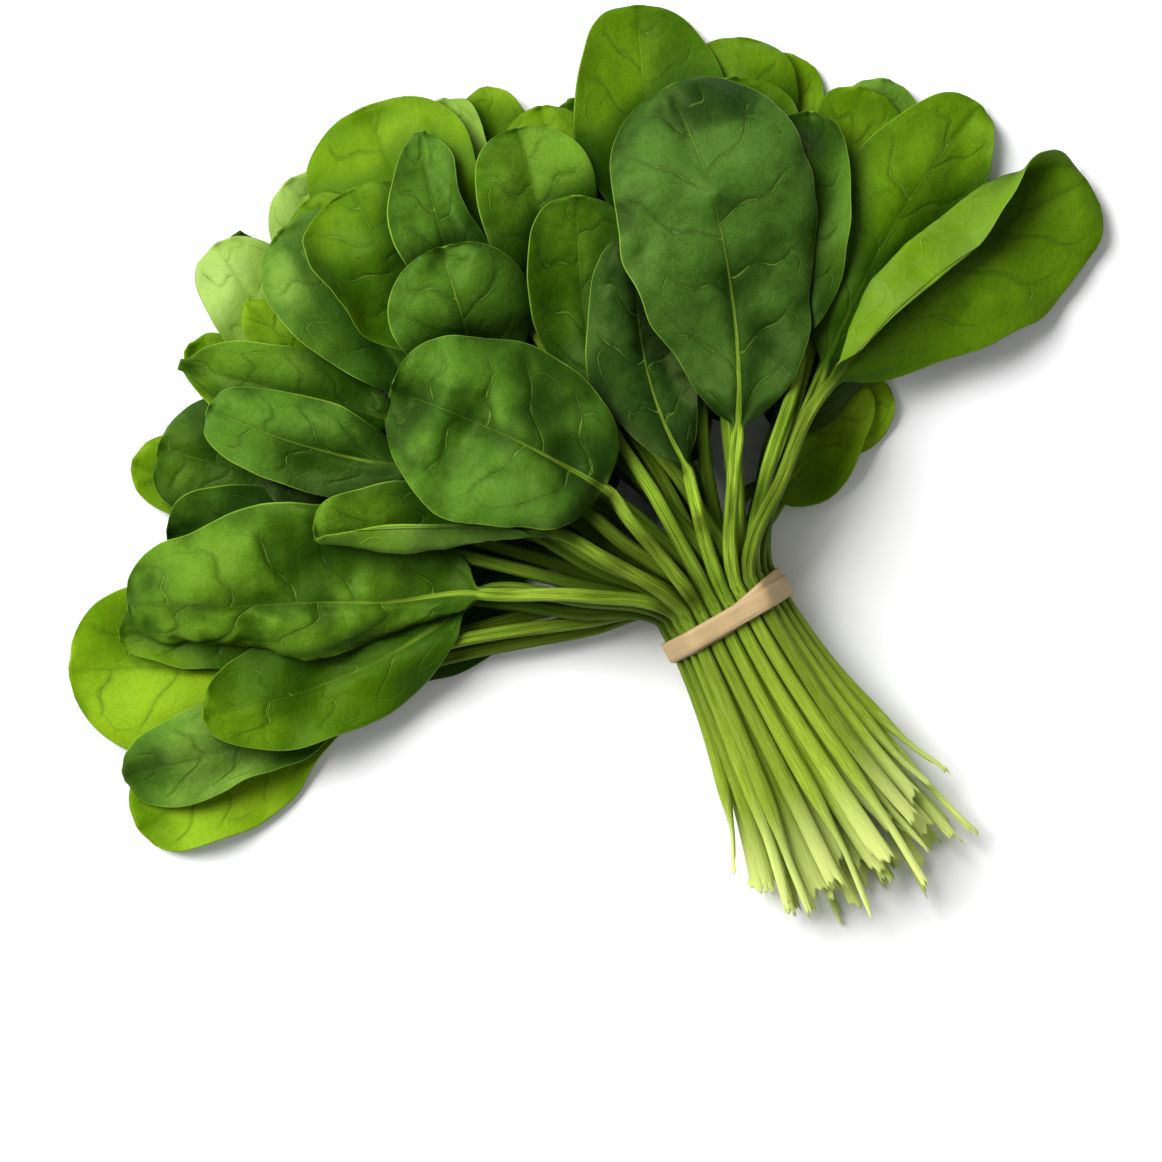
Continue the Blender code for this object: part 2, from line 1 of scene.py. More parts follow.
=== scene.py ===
"""Finished look of the spinach bunch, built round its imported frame.

Each leaf of the frame is replaced by a finer one in the same place: plan, heights and sections
repeat the part's own formulas, and how far the pile lifts a leaf is read back from its node.
The rubber band is replaced by a strip wound twice round the stems.
+Y runs from the cut ends to the leaves, +X across the bunch, +Z up. Tables are in millimetres.
"""
import math
from collections import namedtuple
from functools import partial, partialmethod, reduce
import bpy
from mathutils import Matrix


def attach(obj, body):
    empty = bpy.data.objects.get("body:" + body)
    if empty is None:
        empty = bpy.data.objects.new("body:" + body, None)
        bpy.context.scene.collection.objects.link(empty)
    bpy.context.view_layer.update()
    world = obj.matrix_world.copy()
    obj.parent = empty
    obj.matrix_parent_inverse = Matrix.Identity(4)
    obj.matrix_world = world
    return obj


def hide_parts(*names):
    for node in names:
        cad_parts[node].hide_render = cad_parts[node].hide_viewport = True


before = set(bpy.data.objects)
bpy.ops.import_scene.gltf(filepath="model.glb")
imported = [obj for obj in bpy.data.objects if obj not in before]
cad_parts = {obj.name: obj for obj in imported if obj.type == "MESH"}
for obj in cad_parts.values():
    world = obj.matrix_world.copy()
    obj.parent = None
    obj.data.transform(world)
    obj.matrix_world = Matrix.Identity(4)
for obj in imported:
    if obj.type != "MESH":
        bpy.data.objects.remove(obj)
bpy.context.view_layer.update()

from types import SimpleNamespace

import bpy
import numpy as np
from mathutils import Vector, noise

MM = 0.001

# ------ sizes shared with the part
BAND_THICK, BAND_PLAY = 1.2, 0.35
ROW_SIZES = (6, 7, 8, 9, 8, 7, 6)
STEM_PITCH, ROW_RISE = 4.5, 4.4
STEM_RADIUS, STEM_RADIUS_BASE, STEM_STRAIGHT = 2.1, 1.55, 6.0
GATE_RADIUS, GATE_WIDEST, GATE_APART, LEVEL_RUN, FAN_START = 34.0, 70.0, 11.5, 24.0, 0.6
CUT_Y, CUT_BACK, CUT_SPREAD, CUT_FLAT, CUT_SCATTER = -93.0, 0.006, 2.05, 0.62, 5.0
CUT_HALF_WIDTH, CUT_HALF_HEIGHT = 2.7, 1.6
WAVES = 1.5
NODE_COLUMNS = (-1.0, -0.45, 0.0, 0.45, 1.0)
NODE_STEM_ANGLES = (162.0, 126.0, 90.0, 54.0, 18.0)
NODE_THICK, STEEPEST = 0.9, 0.6
NODE_STATIONS = (-2.0, -1.5, -1.0, 0.0, 0.15, 0.32, 0.52, 0.76, 1.0,
                 1.06, 1.17, 1.31, 1.46, 1.62, 1.77, 1.90, 1.985)

Leaf = namedtuple("Leaf", "base tip half left right bow roll fold rise end wave phase taper",
                  defaults=(18.0, 18.0, 0.0, 0.0, 4.0, 4.0, 0.0, 2.0, 0.0, (0.75, 0.45)))
FULL = (0.45, 0.45)         # taper of a blade as broad at the base as at the tip

# Leaves of the part, lowest first: blade base and tip, greatest half width, curl of the left and
# right side, sideways bow, roll, fold about the midrib, height of middle and tip, height and phase
# of the edge waves, powers of the taper to the base and to the tip
LEAVES = (
    # row 0, against the surface
    Leaf((-50, 32), (-146, 66), 22, -14, -14, rise=5, taper=FULL),
    Leaf((-36, 40), (-96, 112), 22, -18, -18, rise=5, wave=2.5, taper=FULL),
    Leaf((-15, 47), (-40, 150), 21, -20, -20, rise=7, wave=2.5, taper=FULL),
    Leaf((11, 45), (24, 142), 20, -20, -20, rise=7, wave=2.5, taper=FULL),
    Leaf((42, 30), (78, 38), 12, 8, 12, rise=2, end=2, phase=0.4),
    Leaf((30, 24), (71, 44), 14, 4, 22, bow=2, rise=2, end=2, taper=FULL),
    # row 1
    Leaf((-111, 31), (-191, 25), 19, 25, 10, bow=1, wave=2.5),
    Leaf((-117, 45), (-187, 79), 26, -12, 25, end=-2, wave=2.5, phase=0.3),
    Leaf((-99, 92), (-140, 126), 13, 10, -10),
    Leaf((-76, 115), (-78, 174), 11, -25, -20, roll=-10, rise=7),
    Leaf((-3, 128), (11, 178), 13, phase=0.6),
    Leaf((57, 89), (99, 143), 15, roll=10),
    Leaf((41, 42), (118, 85), 19, -25, -25, rise=8, wave=2.5, taper=FULL),
    # row 2
    Leaf((-108, 34), (-187, 42), 15, 35, 5, bow=-4, end=4, wave=2.2, phase=0.5),
    Leaf((-97, 94), (-130, 127), 20, 30, -12),
    Leaf((-82, 103), (-108, 150), 12),
    Leaf((-48, 127), (-56, 181), 15, -10, 30),
    Leaf((-10, 128), (-3, 181), 11, 0, 50),
    Leaf((13, 112), (34, 162), 11, roll=-8),
    Leaf((79, 66), (122, 122), 16, 10, 40, phase=0.2),
    Leaf((29, 50), (76, 128), 21, -30, -25, rise=9, wave=2.5, taper=FULL),
    # row 3
    Leaf((-86, 50), (-168, 81), 15, 30, 0),
    Leaf((-91, 73), (-140, 101), 17, -10, 25, rise=6),
    Leaf((-79, 109), (-85, 174), 17, 30, 10, end=3, phase=0.35),
    Leaf((-71, 111), (-85, 153), 8, -20, -10, rise=6),
    Leaf((-32, 118), (-24, 190), 28, -25, 15, rise=7, end=-4, wave=2.5),
    Leaf((-47, 123), (-55, 172), 15, -10, 25),
    Leaf((18, 88), (44, 137), 18, -30, -35, rise=9, wave=2.5),
    Leaf((51, 95), (89, 154), 20, -25, -25, rise=6, end=-5, wave=2.5, phase=0.7),
    Leaf((65, 63), (114, 123), 18, 35, 10, end=3, phase=0.1),
    # row 4
    Leaf((-67, 40), (-155, 48), 17, 10, 30, bow=-7, rise=2, wave=2.5, phase=0.2),
    Leaf((-59, 74), (-103, 108), 14, -25, -20, rise=8),
    Leaf((-60, 98), (-112, 146), 15, 35, 5, fold=14, end=4, taper=(0.7, 0.7)),
    Leaf((-51, 101), (-67, 167), 20, -14, 20, bow=3, rise=6, wave=2.5),
    Leaf((4, 113), (24, 164), 15, -20, 15, rise=6),
    Leaf((39, 98), (65, 178), 24, 30, 5, bow=-3, end=4, phase=0.15),
    Leaf((46, 83), (81, 143), 22, 10, 25),
    Leaf((61, 51), (144, 101), 21, -12, 30, bow=-4, fold=4, end=4, phase=0.6),
    # row 5
    Leaf((-60, 81), (-110, 129), 15, 25, -22, bow=-3, fold=4, rise=5, phase=0.3),
    Leaf((-41, 110), (-40, 168), 22, -10, 20, rise=6, wave=2.5, phase=0.45),
    Leaf((-24, 114), (-13, 174), 15, 10, 55, bow=-3, fold=10, end=4, taper=(0.7, 0.65)),
    Leaf((-1, 98), (14, 161), 18, -18, -15, rise=7, end=-2, phase=0.8),
    Leaf((-63, 40), (-161, 88), 23, -40, -16, bow=4, fold=4, rise=7, end=-4, wave=3.0, phase=0.55,
         taper=(0.6, 0.45)),
    Leaf((58, 60), (95, 123), 15, -15, 25, phase=0.9),
    Leaf((-33, 93), (-24, 138), 22, -20, -10, rise=6, end=-3, wave=2.5, phase=0.25, taper=(0.6, 0.42)),
    # row 6
    Leaf((-3, 75), (20, 133), 18, 22, 10, bow=-2, end=3, phase=0.1),
    Leaf((10, 43), (31, 113), 17, -30, -10, bow=-6, fold=6, rise=6, wave=3.0, phase=0.6),
    Leaf((-35, 46), (-99, 79), 14, 42, -20, bow=2, roll=-4, fold=7, rise=5, taper=(0.7, 0.35)),
    Leaf((60, 46), (162, 65), 25, 42, -32, bow=-3, roll=-6, fold=12, rise=9, end=2, wave=3.0,
         phase=0.35, taper=(0.85, 0.4)),
    Leaf((-15, 50), (-58, 107), 29, -22, -16, bow=2, fold=3, rise=8, end=-5, wave=2.5, phase=0.4,
         taper=(0.42, 0.42)),
    Leaf((29, 47), (60, 150), 31, -20, -26, bow=7, fold=7, rise=9, end=-9, wave=2.5, phase=0.7,
         taper=(0.72, 0.42)),
)

# ------ finer leaves
BLADE_THICK, RIM_THICK, RIM_WIDE = 0.5, 0.25, 1.2
ROW_STEP, CELL_ACROSS, STEM_STEP = 1.2, 1.35, 2.6  # mesh along and across a blade, along a stem
LOW_ROWS, COARSER = 2, 1.6  # the lowest rows, mostly hidden, have a coarser mesh
CUT_STATIONS, CUT_SEED = 24, 400  # stations of the cut part; seed, with the leaf's number
STEM_FULLER = 0.38          # stems swell this much beyond the band
GROOVE_DEEP, GROOVE_WIDE = 0.28, 0.42  # along the top of a stem: share of its height, radians
CELL = 0.8                  # grid of the height map
GAP = 0.5                   # clear space between leaves away from the band
CLEAR_START, CLEAR_FULL = 12.0, 40.0  # from the band, where the gap begins and is whole
BAND_HALF, SHARP_REACH = 20.0, 45.0  # half of the band; how far out the map isn't widened
FIELD_LOW, FIELD_SIZE = (-235.0, -135.0), (450.0, 360.0)
DEEP_NEAR, DEEP_WIDE = 5, 3  # cells looked at to tell how deep a point lies, for the painted shade in hollows of the pile
DEEP_FULL = 12.0            # this far under its neighbours a point has the darkest painted shade
CROWD = 9                   # cells over which leaves above paint shade on the ones below
ROW_RAISE = (0.0, 0.0, 0.3, 0.7, 1.2, 1.8, 2.2)  # blades stand this much clearer of those below
LOWEST_BOTTOM, LOWEST_TOP = 0.02, 0.25  # no leaf's underside and top lie lower

# Relief of a blade: heights, and the size and seed of swells, patches, bumps and fine bumps
SWELL, RIPPLE, PANEL, BUMP, FINE_BUMP = 3.6, 1.4, 0.45, 0.50, 0.14
UNEVEN = ((30.0, 7.7), (16.0, 3.1), (8.0, 5.3), (3.2, 1.9))
RIPPLE_SIZE = 10.0
FEWEST_VEINS, VEIN_EVERY = 2.8, 42.0  # side veins to a half, and mm of length for each more

# Leaf colours, linear, in thousandths: shade (painted shade and darker marks), body, light (lighter
# clouds and network, and painted light on swells), underside; light let through
Tone = namedtuple("Tone", "shade body light under through")
TONES = {
    "z": Tone((2, 8, 1), (6, 24, 2), (22, 62, 6), (60, 120, 22), 0.03),
    "k": Tone((3, 14, 1), (16, 50, 3), (46, 116, 12), (75, 150, 22), 0.06),
    "d": Tone((5, 22, 1), (27, 80, 3), (64, 158, 10), (100, 195, 30), 0.12),
    "m": Tone((8, 34, 1), (48, 122, 2), (100, 215, 10), (130, 240, 35), 0.17),
    "f": Tone((15, 56, 1), (74, 172, 1), (125, 250, 4), (150, 265, 30), 0.26),
    "l": Tone((42, 122, 1), (145, 285, 2), (220, 370, 10), (220, 350, 45), 0.36),
    "y": Tone((60, 160, 1), (210, 380, 4), (290, 470, 12), (260, 400, 45), 0.40),
    "b": Tone((18, 62, 4), (80, 185, 12), (155, 285, 34), (170, 285, 70), 0.20),
    "p": Tone((150, 270, 25), (270, 425, 66), (350, 505, 125), (320, 450, 160), 0.32),
}
LEAF_TONES = "mmmmyl" "yylmllm" "bmlpplbm" "fdpllfmfl" "fzmblfff" "dfdmmdd" "mzmfdk"
# How much of the painted shade among the leaves falls on these, which light reaches from the side
OPEN = {5: 0.0, 6: 0.0, 7: 0.0, 8: 0.2, 9: 0.4, 12: 0.0, 14: 0.5, 16: 0.0, 17: 0.4, 18: 0.4,
        20: 0.0, 25: 0.3, 27: 0.3, 29: 0.6, 30: 0.5, 35: 0.5, 37: 0.4}
CRINKLE = 0.8               # strength of panels and bumps, other than on these leaves
CRINKLED = {47: 3.2, 48: 1.3, 43: 3.0, 50: 2.2, 37: 1.5, 41: 1.4, 49: 1.2, 51: 1.5}

# Halves of blades that fold or roll over further than in the part
#   side          -1 left, 1 right of the midrib
#   t, turn       how far it turns, degrees, at places along the blade
#   start, span   where across the half the turn begins, and how much of the half it takes
#   reach         width of the half against the part's
Bend = namedtuple("Bend", "side t turn start span reach")
BENDS = {
    14: (Bend(1, (0.0, 0.5, 1.0), (5, 10, -50), 0.20, 0.80, 1.0),
         Bend(-1, (0.0, 0.5, 1.0), (35, 45, 15), 0.10, 0.90, 1.0)),
    40: (Bend(-1, (0.0, 0.3, 0.8, 1.0), (0, 55, 60, 20), 0.50, 0.45, 1.08),),
    43: (Bend(-1, (0.0, 0.25, 0.6, 0.85, 1.0), (-30, -58, -70, -65, -40), 0.02, 0.90, 0.75),
         Bend(1, (0.0, 0.5, 1.0), (-16, -20, -10), 0.0, 1.0, 1.4)),
    48: (Bend(-1, (0.0, 0.2, 0.7, 1.0), (60, 155, 165, 110), 0.30, 0.34, 1.25),),
    49: (Bend(-1, (0.0, 0.08, 0.42, 0.60, 0.76, 0.90, 1.0), (80, 165, 162, 145, 105, 60, 30),
              0.34, 0.32, 1.6),
         Bend(1, (0.0, 0.5, 1.0), (-10, -18, -26), 0.0, 1.0, 1.25)),
    51: (Bend(1, (0.0, 0.3, 0.7, 1.0), (-20, -44, -52, -30), 0.10, 0.90, 1.07),),
}
SHIFTS = {43: -5.0, 49: -3.0}  # middle of the blade moved sideways, + to the right
# Pinched points and dents: place along and across as shares, height and reach in mm
PEAKS = {51: ((0.66, 0.04, 8.0, 7.0), (0.35, -0.45, 2.5, 14.0), (0.22, 0.35, -3.0, 12.0)),
         50: ((0.22, 0.42, 3.5, 6.0), (0.16, 0.10, -2.5, 7.0), (0.55, 0.35, 2.5, 12.0)),
         49: ((0.80, -0.20, 2.5, 8.0), (0.55, 0.55, 2.5, 11.0)), 43: ((0.80, 0.30, 3.0, 9.0),),
         31: ((0.55, 0.35, -5.0, 14.0), (0.25, 0.30, -4.0, 12.0))}


def smooth(value):
    value = np.clip(value, 0.0, 1.0)
    return value * value * (3.0 - 2.0 * value)


def cubic_shares(u):
    """Shares of start, start slope, end and end slope in a cubic at u from 0 to 1."""
    return 2 * u**3 - 3 * u**2 + 1, u**3 - 2 * u**2 + u, 3 * u**2 - 2 * u**3, u**3 - u**2


def blade_length(leaf):
    return float(np.hypot(*np.subtract(leaf.tip, leaf.base)))


# ------ plan and sections, as in the part

def slots():
    """(row, x in the band, gate beyond the band) of every leaf."""
    found, first = [None] * len(LEAVES), 0
    for row, count in enumerate(ROW_SIZES):
        fan = sorted((math.degrees(math.atan2(*LEAVES[k].base)), k)
                     for k in range(first, first + count))
        angles = [max(-GATE_WIDEST, min(GATE_WIDEST, angle)) for angle, _ in fan]
        for _ in range(200):
            for i in range(count - 1):
                short = GATE_APART - (angles[i + 1] - angles[i])
                if short > 0:
                    angles[i] -= short / 2
                    angles[i + 1] += short / 2
        for column, (_, k) in enumerate(fan):
            x, angle = (column - (count - 1) / 2) * STEM_PITCH, math.radians(angles[column])
            gate = (0.45 * x + GATE_RADIUS * math.sin(angle),
                    STEM_STRAIGHT + GATE_RADIUS * math.cos(angle))
            found[k] = (row, x, gate)
        first += count
    return found


def slot_height(row):
    return BAND_THICK + BAND_PLAY + STEM_RADIUS + row * ROW_RISE


def hermite(start, start_way, end, end_way, u):
    """Point and slope of a cubic through two points with given directions."""
    a, m, b, n = (np.array(p, float)[:, None] for p in (start, start_way, end, end_way))
    share = cubic_shares(u)
    point = share[0] * a + share[1] * m + share[2] * b + share[3] * n
    slope = (6 * u**2 - 6 * u) * (a - b) + (3 * u**2 - 4 * u + 1) * m + (3 * u**2 - 2 * u) * n
    return point, slope


def blade_line(leaf, t):
    """Midrib in plan: a chord with a sideways bow."""
    base, tip = np.array(leaf.base, float), np.array(leaf.tip, float)
    chord = tip - base
    side = np.array((chord[1], -chord[0])) / np.hypot(*chord)
    point = base[:, None] + chord[:, None] * t + side[:, None] * leaf.bow * 4 * t * (1 - t)
    slope = chord[:, None] + side[:, None] * leaf.bow * 4 * (1 - 2 * t)
    return point, slope / np.hypot(*slope)


def stem_line(leaf, slot_x, gate, u):
    """Stem in plan from the band through its gate to the blade."""
    start, gate, base = np.array((slot_x, STEM_STRAIGHT)), np.array(gate), np.array(leaf.base)
    _, heading = blade_line(leaf, np.zeros(1))
    near, far = np.hypot(*(gate - start)), np.hypot(*(base - gate))
    split = near / (near + far)
    through = (gate - start) / near + (base - gate) / far
    through /= np.hypot(*through)
    away = FAN_START * (gate - start) / near + (0.0, 1.0)
    away /= np.hypot(*away)
    first = u < split
    point, slope = np.empty((2, len(u))), np.empty((2, len(u)))
    point[:, first], slope[:, first] = hermite(
        start, away * near, gate, through * near, u[first] / split)
    point[:, ~first], slope[:, ~first] = hermite(
        gate, through * far, base, heading[:, 0] * far, (u[~first] - split) / (1.0 - split))
    return point, slope / np.hypot(*slope)


def cut_line(slot_x, row, u):
    """Cut part, u from 0 at the end to 1 by the band: x, y, z."""
    scatter = CUT_SCATTER * math.sin(2.1 * slot_x + 4.7 * row)
    end = CUT_Y + CUT_BACK * (slot_x * CUT_SPREAD)**2 + scatter
    y = -STEM_STRAIGHT + (end + STEM_STRAIGHT) * (1.0 - u)
    away = (-STEM_STRAIGHT - y) / (-STEM_STRAIGHT - CUT_Y)
    away = away * (0.45 + 0.55 * np.minimum(away, 1.0))
    spread = 1.0 + (CUT_SPREAD - 1.0) * away
    clear = (STEM_PITCH - 0.1)**2 - (STEM_PITCH / 2 * spread)**2
    flat = np.maximum(1.0 + (CUT_FLAT - 1.0) * away, np.sqrt(np.maximum(clear, 0.0)) / ROW_RISE)
    low = slot_height(0) + (CUT_HALF_HEIGHT + 0.05 - slot_height(0)) * np.minimum(away, 1.0)
    return slot_x * spread, y, low + row * ROW_RISE * flat


def stem_length(leaf, slot):
    """From the band through the gate to the blade, by straight lines."""
    _, slot_x, gate = slot
    return (math.hypot(gate[0] - slot_x, gate[1] - STEM_STRAIGHT)
            + math.hypot(leaf.base[0] - gate[0], leaf.base[1] - gate[1]))


def stem_fall(leaf, slot, g):
    """0 near the band, where rows keep their levels, to 1 at the blade."""
    length = stem_length(leaf, slot)
    return smooth((g * length - LEVEL_RUN) / (length - LEVEL_RUN))


def centre_line(leaf, slot, g):
    """Unlifted leaf at stations g: x, y, z, and its direction in plan."""
    row, slot_x, gate = slot
    line = np.zeros((5, len(g)))
    line[4] = 1.0
    cut, held, stem, blade = g <= -1.0, (g > -1.0) & (g <= 0.0), (g > 0.0) & (g <= 1.0), g > 1.0
    line[:3, cut] = cut_line(slot_x, row, g[cut] + 2.0)
    line[0, held], line[1, held] = slot_x, STEM_STRAIGHT * (2 * g[held] + 1.0)
    line[2, held] = slot_height(row)
    line[:2, stem], line[3:, stem] = stem_line(leaf, slot_x, gate, g[stem])
    line[2, stem] = slot_height(row) * (1.0 - stem_fall(leaf, slot, g[stem]))
    t = g[blade] - 1.0
    line[:2, blade], line[3:, blade] = blade_line(leaf, t)
    line[2, blade] = leaf.rise * 4 * t * (1 - t) + leaf.end * t * t
    return line


def trim_cut(k, line, wide, high, g, s):
    """Bend, press and tear the cut part so that no two ends are alike."""
    x, y, z, dx, dy = line
    away = np.clip(-1.0 - g, 0.0, 1.0)
    (lean, sway, phase, shorten, widen, flatten, tailed, slant, tooth, fine_tooth, thin, long,
     swing) = np.random.default_rng(CUT_SEED + k).uniform(-1.0, 1.0, 13)
    x = x + (3.2 * lean * away**2 + 1.1 * sway * np.sin(4.5 * away + 3.0 * phase) * away
             + 2.4 * away**2.2)
    left_end = np.maximum(0.0, -14.0 - x)
    shorter = 5.5 * shorten + 5.0 * np.clip(z / 20.0 - 0.2, 0.0, 0.6) + 0.32 * left_end
    y = y + shorter * away**3
    end = smooth((away - 0.45) / 0.55)
    wide = wide * (1.0 - (0.10 - 0.22 * widen) * end)
    high = high * (1.0 - (0.24 + 0.10 * flatten) * end)
    if tailed > 0.35:           # some end in a thin torn tail
        tail = smooth((away - 0.80) / 0.20)
        wide = wide * (1.0 - (0.48 + 0.16 * thin) * smooth((away - 0.55) / 0.27))
        y = y - (4.0 + 4.0 * long) * tail
        x = x + 2.2 * swing * tail
    torn = smooth((away - 0.93) / 0.07)[:, None] * (
        2.6 * slant * s + 1.1 * np.sin(4.0 * s + 6.0 * tooth)
        + 0.7 * np.sin(11.0 * s + 9.0 * fine_tooth))
    return (x, y, z, dx, dy), wide, high, torn


def stem_half_sizes(g):
    """Half width and half height of the stem."""
    out = np.clip(g, 0.0, 1.0)
    round_part = STEM_RADIUS + (STEM_RADIUS_BASE - STEM_RADIUS) * out**0.6
    pressed = smooth(-g - 1.0)
    return [round_part + (half - STEM_RADIUS) * pressed
            for half in (CUT_HALF_WIDTH, CUT_HALF_HEIGHT)]


def blade_half_width(leaf, t):
    p, q = leaf.taper
    peak = (p / (p + q))**p * (q / (p + q))**q
    t = np.clip(t, 0.0, 1.0)
    return leaf.half * t**p * (1.0 - t)**q / peak


def side_curve(leaf, s, width):
    """Sideways distance, height and slope angle across the blade at s from -1 to 1."""
    full = np.clip(width / (0.4 * leaf.half), 0.0, 1.0)
    fold, roll = math.radians(leaf.fold) * full, math.radians(leaf.roll) * full
    side = np.where(s < 0, -1.0, 1.0)
    rate = np.where(s < 0, math.radians(leaf.left), math.radians(leaf.right)) * full
    rate = np.where(np.abs(rate) < 1e-4, 1e-4, rate)
    near = np.where(s < 0, fold - roll, fold + roll)
    far = near + rate * np.abs(s)
    across = side * width * (np.sin(far) - np.sin(near)) / rate
    height = width * (np.cos(near) - np.cos(far)) / rate
    return across, height, side * far


def edge_wave(leaf, t, s):
    ripple = np.sin(2 * math.pi * (WAVES * t + leaf.phase) + np.where(s > 0, 2.1, 0.0))
    return leaf.wave * s * s * ripple * smooth(t * 4.0)


def section_faces(spread, stem, blade, offs, groove=1.0):
    """Top and bottom, each sideways and upward, where a round stem turns into a thin blade."""
    (wide, high, angle), (across, height, slope) = stem, blade
    return [((1 - spread) * wide * np.cos(angle) + spread * (across - np.sin(slope) * off),
             (1 - spread) * side * high * trim * np.sin(angle)
             + spread * (height + np.cos(slope) * off))
            for side, off, trim in zip((1.0, -1.0), offs, (groove, 1.0))]


def node_section(leaf, g, s):
    """Faces of the part's own leaf at stations g and columns s."""
    t = np.clip(g - 1.0, 0.0, 1.0)
    wide, high = stem_half_sizes(g)
    width = blade_half_width(leaf, t)
    spread = smooth((width - wide) / (2.5 * wide))
    angle = np.radians(np.interp(s, NODE_COLUMNS, NODE_STEM_ANGLES))
    across, height, slope = side_curve(leaf, s, np.maximum(width, wide))
    height = height + edge_wave(leaf, t, s)
    rib = wide * (1.0 - t) * np.maximum(0.0, 1.0 - np.abs(s) / 0.45)
    slope = np.clip(slope, -STEEPEST, STEEPEST)
    return section_faces(spread, (wide, high, angle), (across, height, slope),
                         (NODE_THICK / 2, -NODE_THICK / 2 - rib))


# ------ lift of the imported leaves

def place(line, across, up):
    """Points from sideways and upward distances along a centre line."""
    x, y, z, dx, dy = (v[:, None] for v in line)
    return np.stack((x + across * dy, y - across * dx, z + up), axis=-1)


def node_lift(leaf, slot, node):
    """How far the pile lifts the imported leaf, at the part's stations and columns."""
    packed = np.empty(len(node.data.vertices) * 3)
    node.data.vertices.foreach_get("co", packed)
    packed = packed.reshape(-1, 3) / MM
    g = np.array(NODE_STATIONS)
    line = centre_line(leaf, slot, g)
    found = []
    for flat, best in zip(node_section(leaf, g[:, None], np.array(NODE_COLUMNS)[None, :]),
                          (np.max, np.min)):
        points = place(line, *flat)
        lift = np.zeros(points.shape[:2])
        for i, j in np.ndindex(lift.shape):
            near = packed[np.hypot(*(packed[:, :2] - points[i, j, :2]).T) < 0.02]
            lift[i, j] = best(near[:, 2]) - points[i, j, 2] if len(near) else np.nan
        found.append(lift)
    lift = np.nanmean(found, axis=0)
    return np.where(g[:, None] <= 0.0, 0.0, lift)


def curve_through(at, values, where):
    """Smooth interpolation along the first axis."""
    slope = np.gradient(values, at, axis=0)
    i = np.clip(np.searchsorted(at, where) - 1, 0, len(at) - 2)
    step = (at[i + 1] - at[i])[:, None]
    share = cubic_shares((where - at[i])[:, None] / step)
    return (share[0] * values[i] + share[1] * step * slope[i]
            + share[2] * values[i + 1] + share[3] * step * slope[i + 1])


# ------ fine leaf

def fine_grid(leaf, slot):
    """Stations and columns of the fine leaf."""
    coarse = COARSER if slot[0] < LOW_ROWS else 1.0
    u = np.linspace(0.0, 1.0, int(blade_length(leaf) / ROW_STEP / coarse))
    u = u + 0.10 * np.sin(math.pi * u) * u  # closer together by the tip
    g = np.concatenate((-2.0 + np.linspace(0.0, 1.0, CUT_STATIONS)**1.35, (-0.66, -0.33),
                        np.linspace(0.0, 1.0, int(stem_length(leaf, slot) / STEM_STEP)),
                        1.0 + u[1:-1], (1.998,)))
    half = max(6, min(19, int(leaf.half / CELL_ACROSS / coarse)))
    s = np.append(np.linspace(0.0, 1.0 - 0.45 / leaf.half, half)**1.08, 1.0)
    return g, np.concatenate((-s[:0:-1], s))


def side_veins(k, leaf, t, s):
    """Side veins counted along the left and the right half; whole numbers lie on a vein."""
    count = vein_count(leaf)
    swept = t - 0.25 * np.abs(s)**1.35 * (1.0 - 0.4 * t)
    drift = (0.20 * np.sin(4.3 * t + 2.1 * s + 1.7 * k) + 0.10 * np.sin(9.7 * t - 4.9 * s + 2.9 * k)
             + 0.06 * np.sin(13.0 * s + 3.1 * t + k))
    left = count * swept + drift + 0.3 * math.sin(1.3 * k)
    return left, left + 0.45 + 0.25 * math.sin(2.3 * k)


def vein_count(leaf):
    """Side veins to each half."""
    return FEWEST_VEINS + blade_length(leaf) / VEIN_EVERY


def uneven(points, size, seed):
    """Smooth noise of about -0.5 to 0.5 at sideways and lengthwise places in millimetres."""
    x, y = np.broadcast_arrays(*points)
    found = [noise.noise(Vector((a / size, b / size, seed))) for a, b in zip(x.ravel(), y.ravel())]
    return np.reshape(found, x.shape)


def relief(k, leaf, t, s, width):
    """How far the surface swells or sinks between the veins."""
    left, right = side_veins(k, leaf, t, s)
    along = np.where(s < 0, left, right)
    part = along - np.floor(along)
    a = np.abs(s)
    aside, onward = width * s, t * blade_length(leaf)
    swell, patch, bumps, small = (uneven((aside, onward), size, seed * k) for size, seed in UNEVEN)
    ripple = uneven((3.0 * np.sign(s) + 0 * t, onward), RIPPLE_SIZE, 9.1 * k)
    panel = np.sin(math.pi * part)**0.7 * smooth(a / 0.2) * smooth((0.88 + 0.1 * part - a) / 0.35)
    patch = np.clip(0.5 + 1.9 * patch, 0.0, 1.5)
    crinkle = CRINKLED.get(k + 1, CRINKLE) * min(1.0, leaf.half / 18.0)
    height = (SWELL * swell + crinkle * (PANEL * panel * patch + BUMP * bumps + FINE_BUMP * small)
              + RIPPLE * ripple * smooth((a - 0.55) / 0.45))
    for at, across, rise, reach in PEAKS.get(k + 1, ()):
        away = np.hypot(aside - across * leaf.half, onward - at * blade_length(leaf))
        height = height + rise * np.exp(-away / reach)
    return smooth(t / 0.12) * smooth((1.0 - t) / 0.06) * height


def lean_across(k, leaf, t, s, full):
    """Slope of the surface across the blade, radians, + where it rises to the right."""
    side, a = np.where(s < 0, -1.0, 1.0), np.abs(s)
    turn = np.where(s < 0, leaf.left, leaf.right) * a * full
    for bend in BENDS.get(k + 1, ()):
        own = np.interp(t, bend.t, bend.turn) * smooth((a - bend.start) / bend.span) * full
        turn = np.where(side == bend.side, own, turn)
    fold = leaf.fold * smooth(a / 0.08) * full
    return np.radians(side * (fold + turn) + leaf.roll * full)


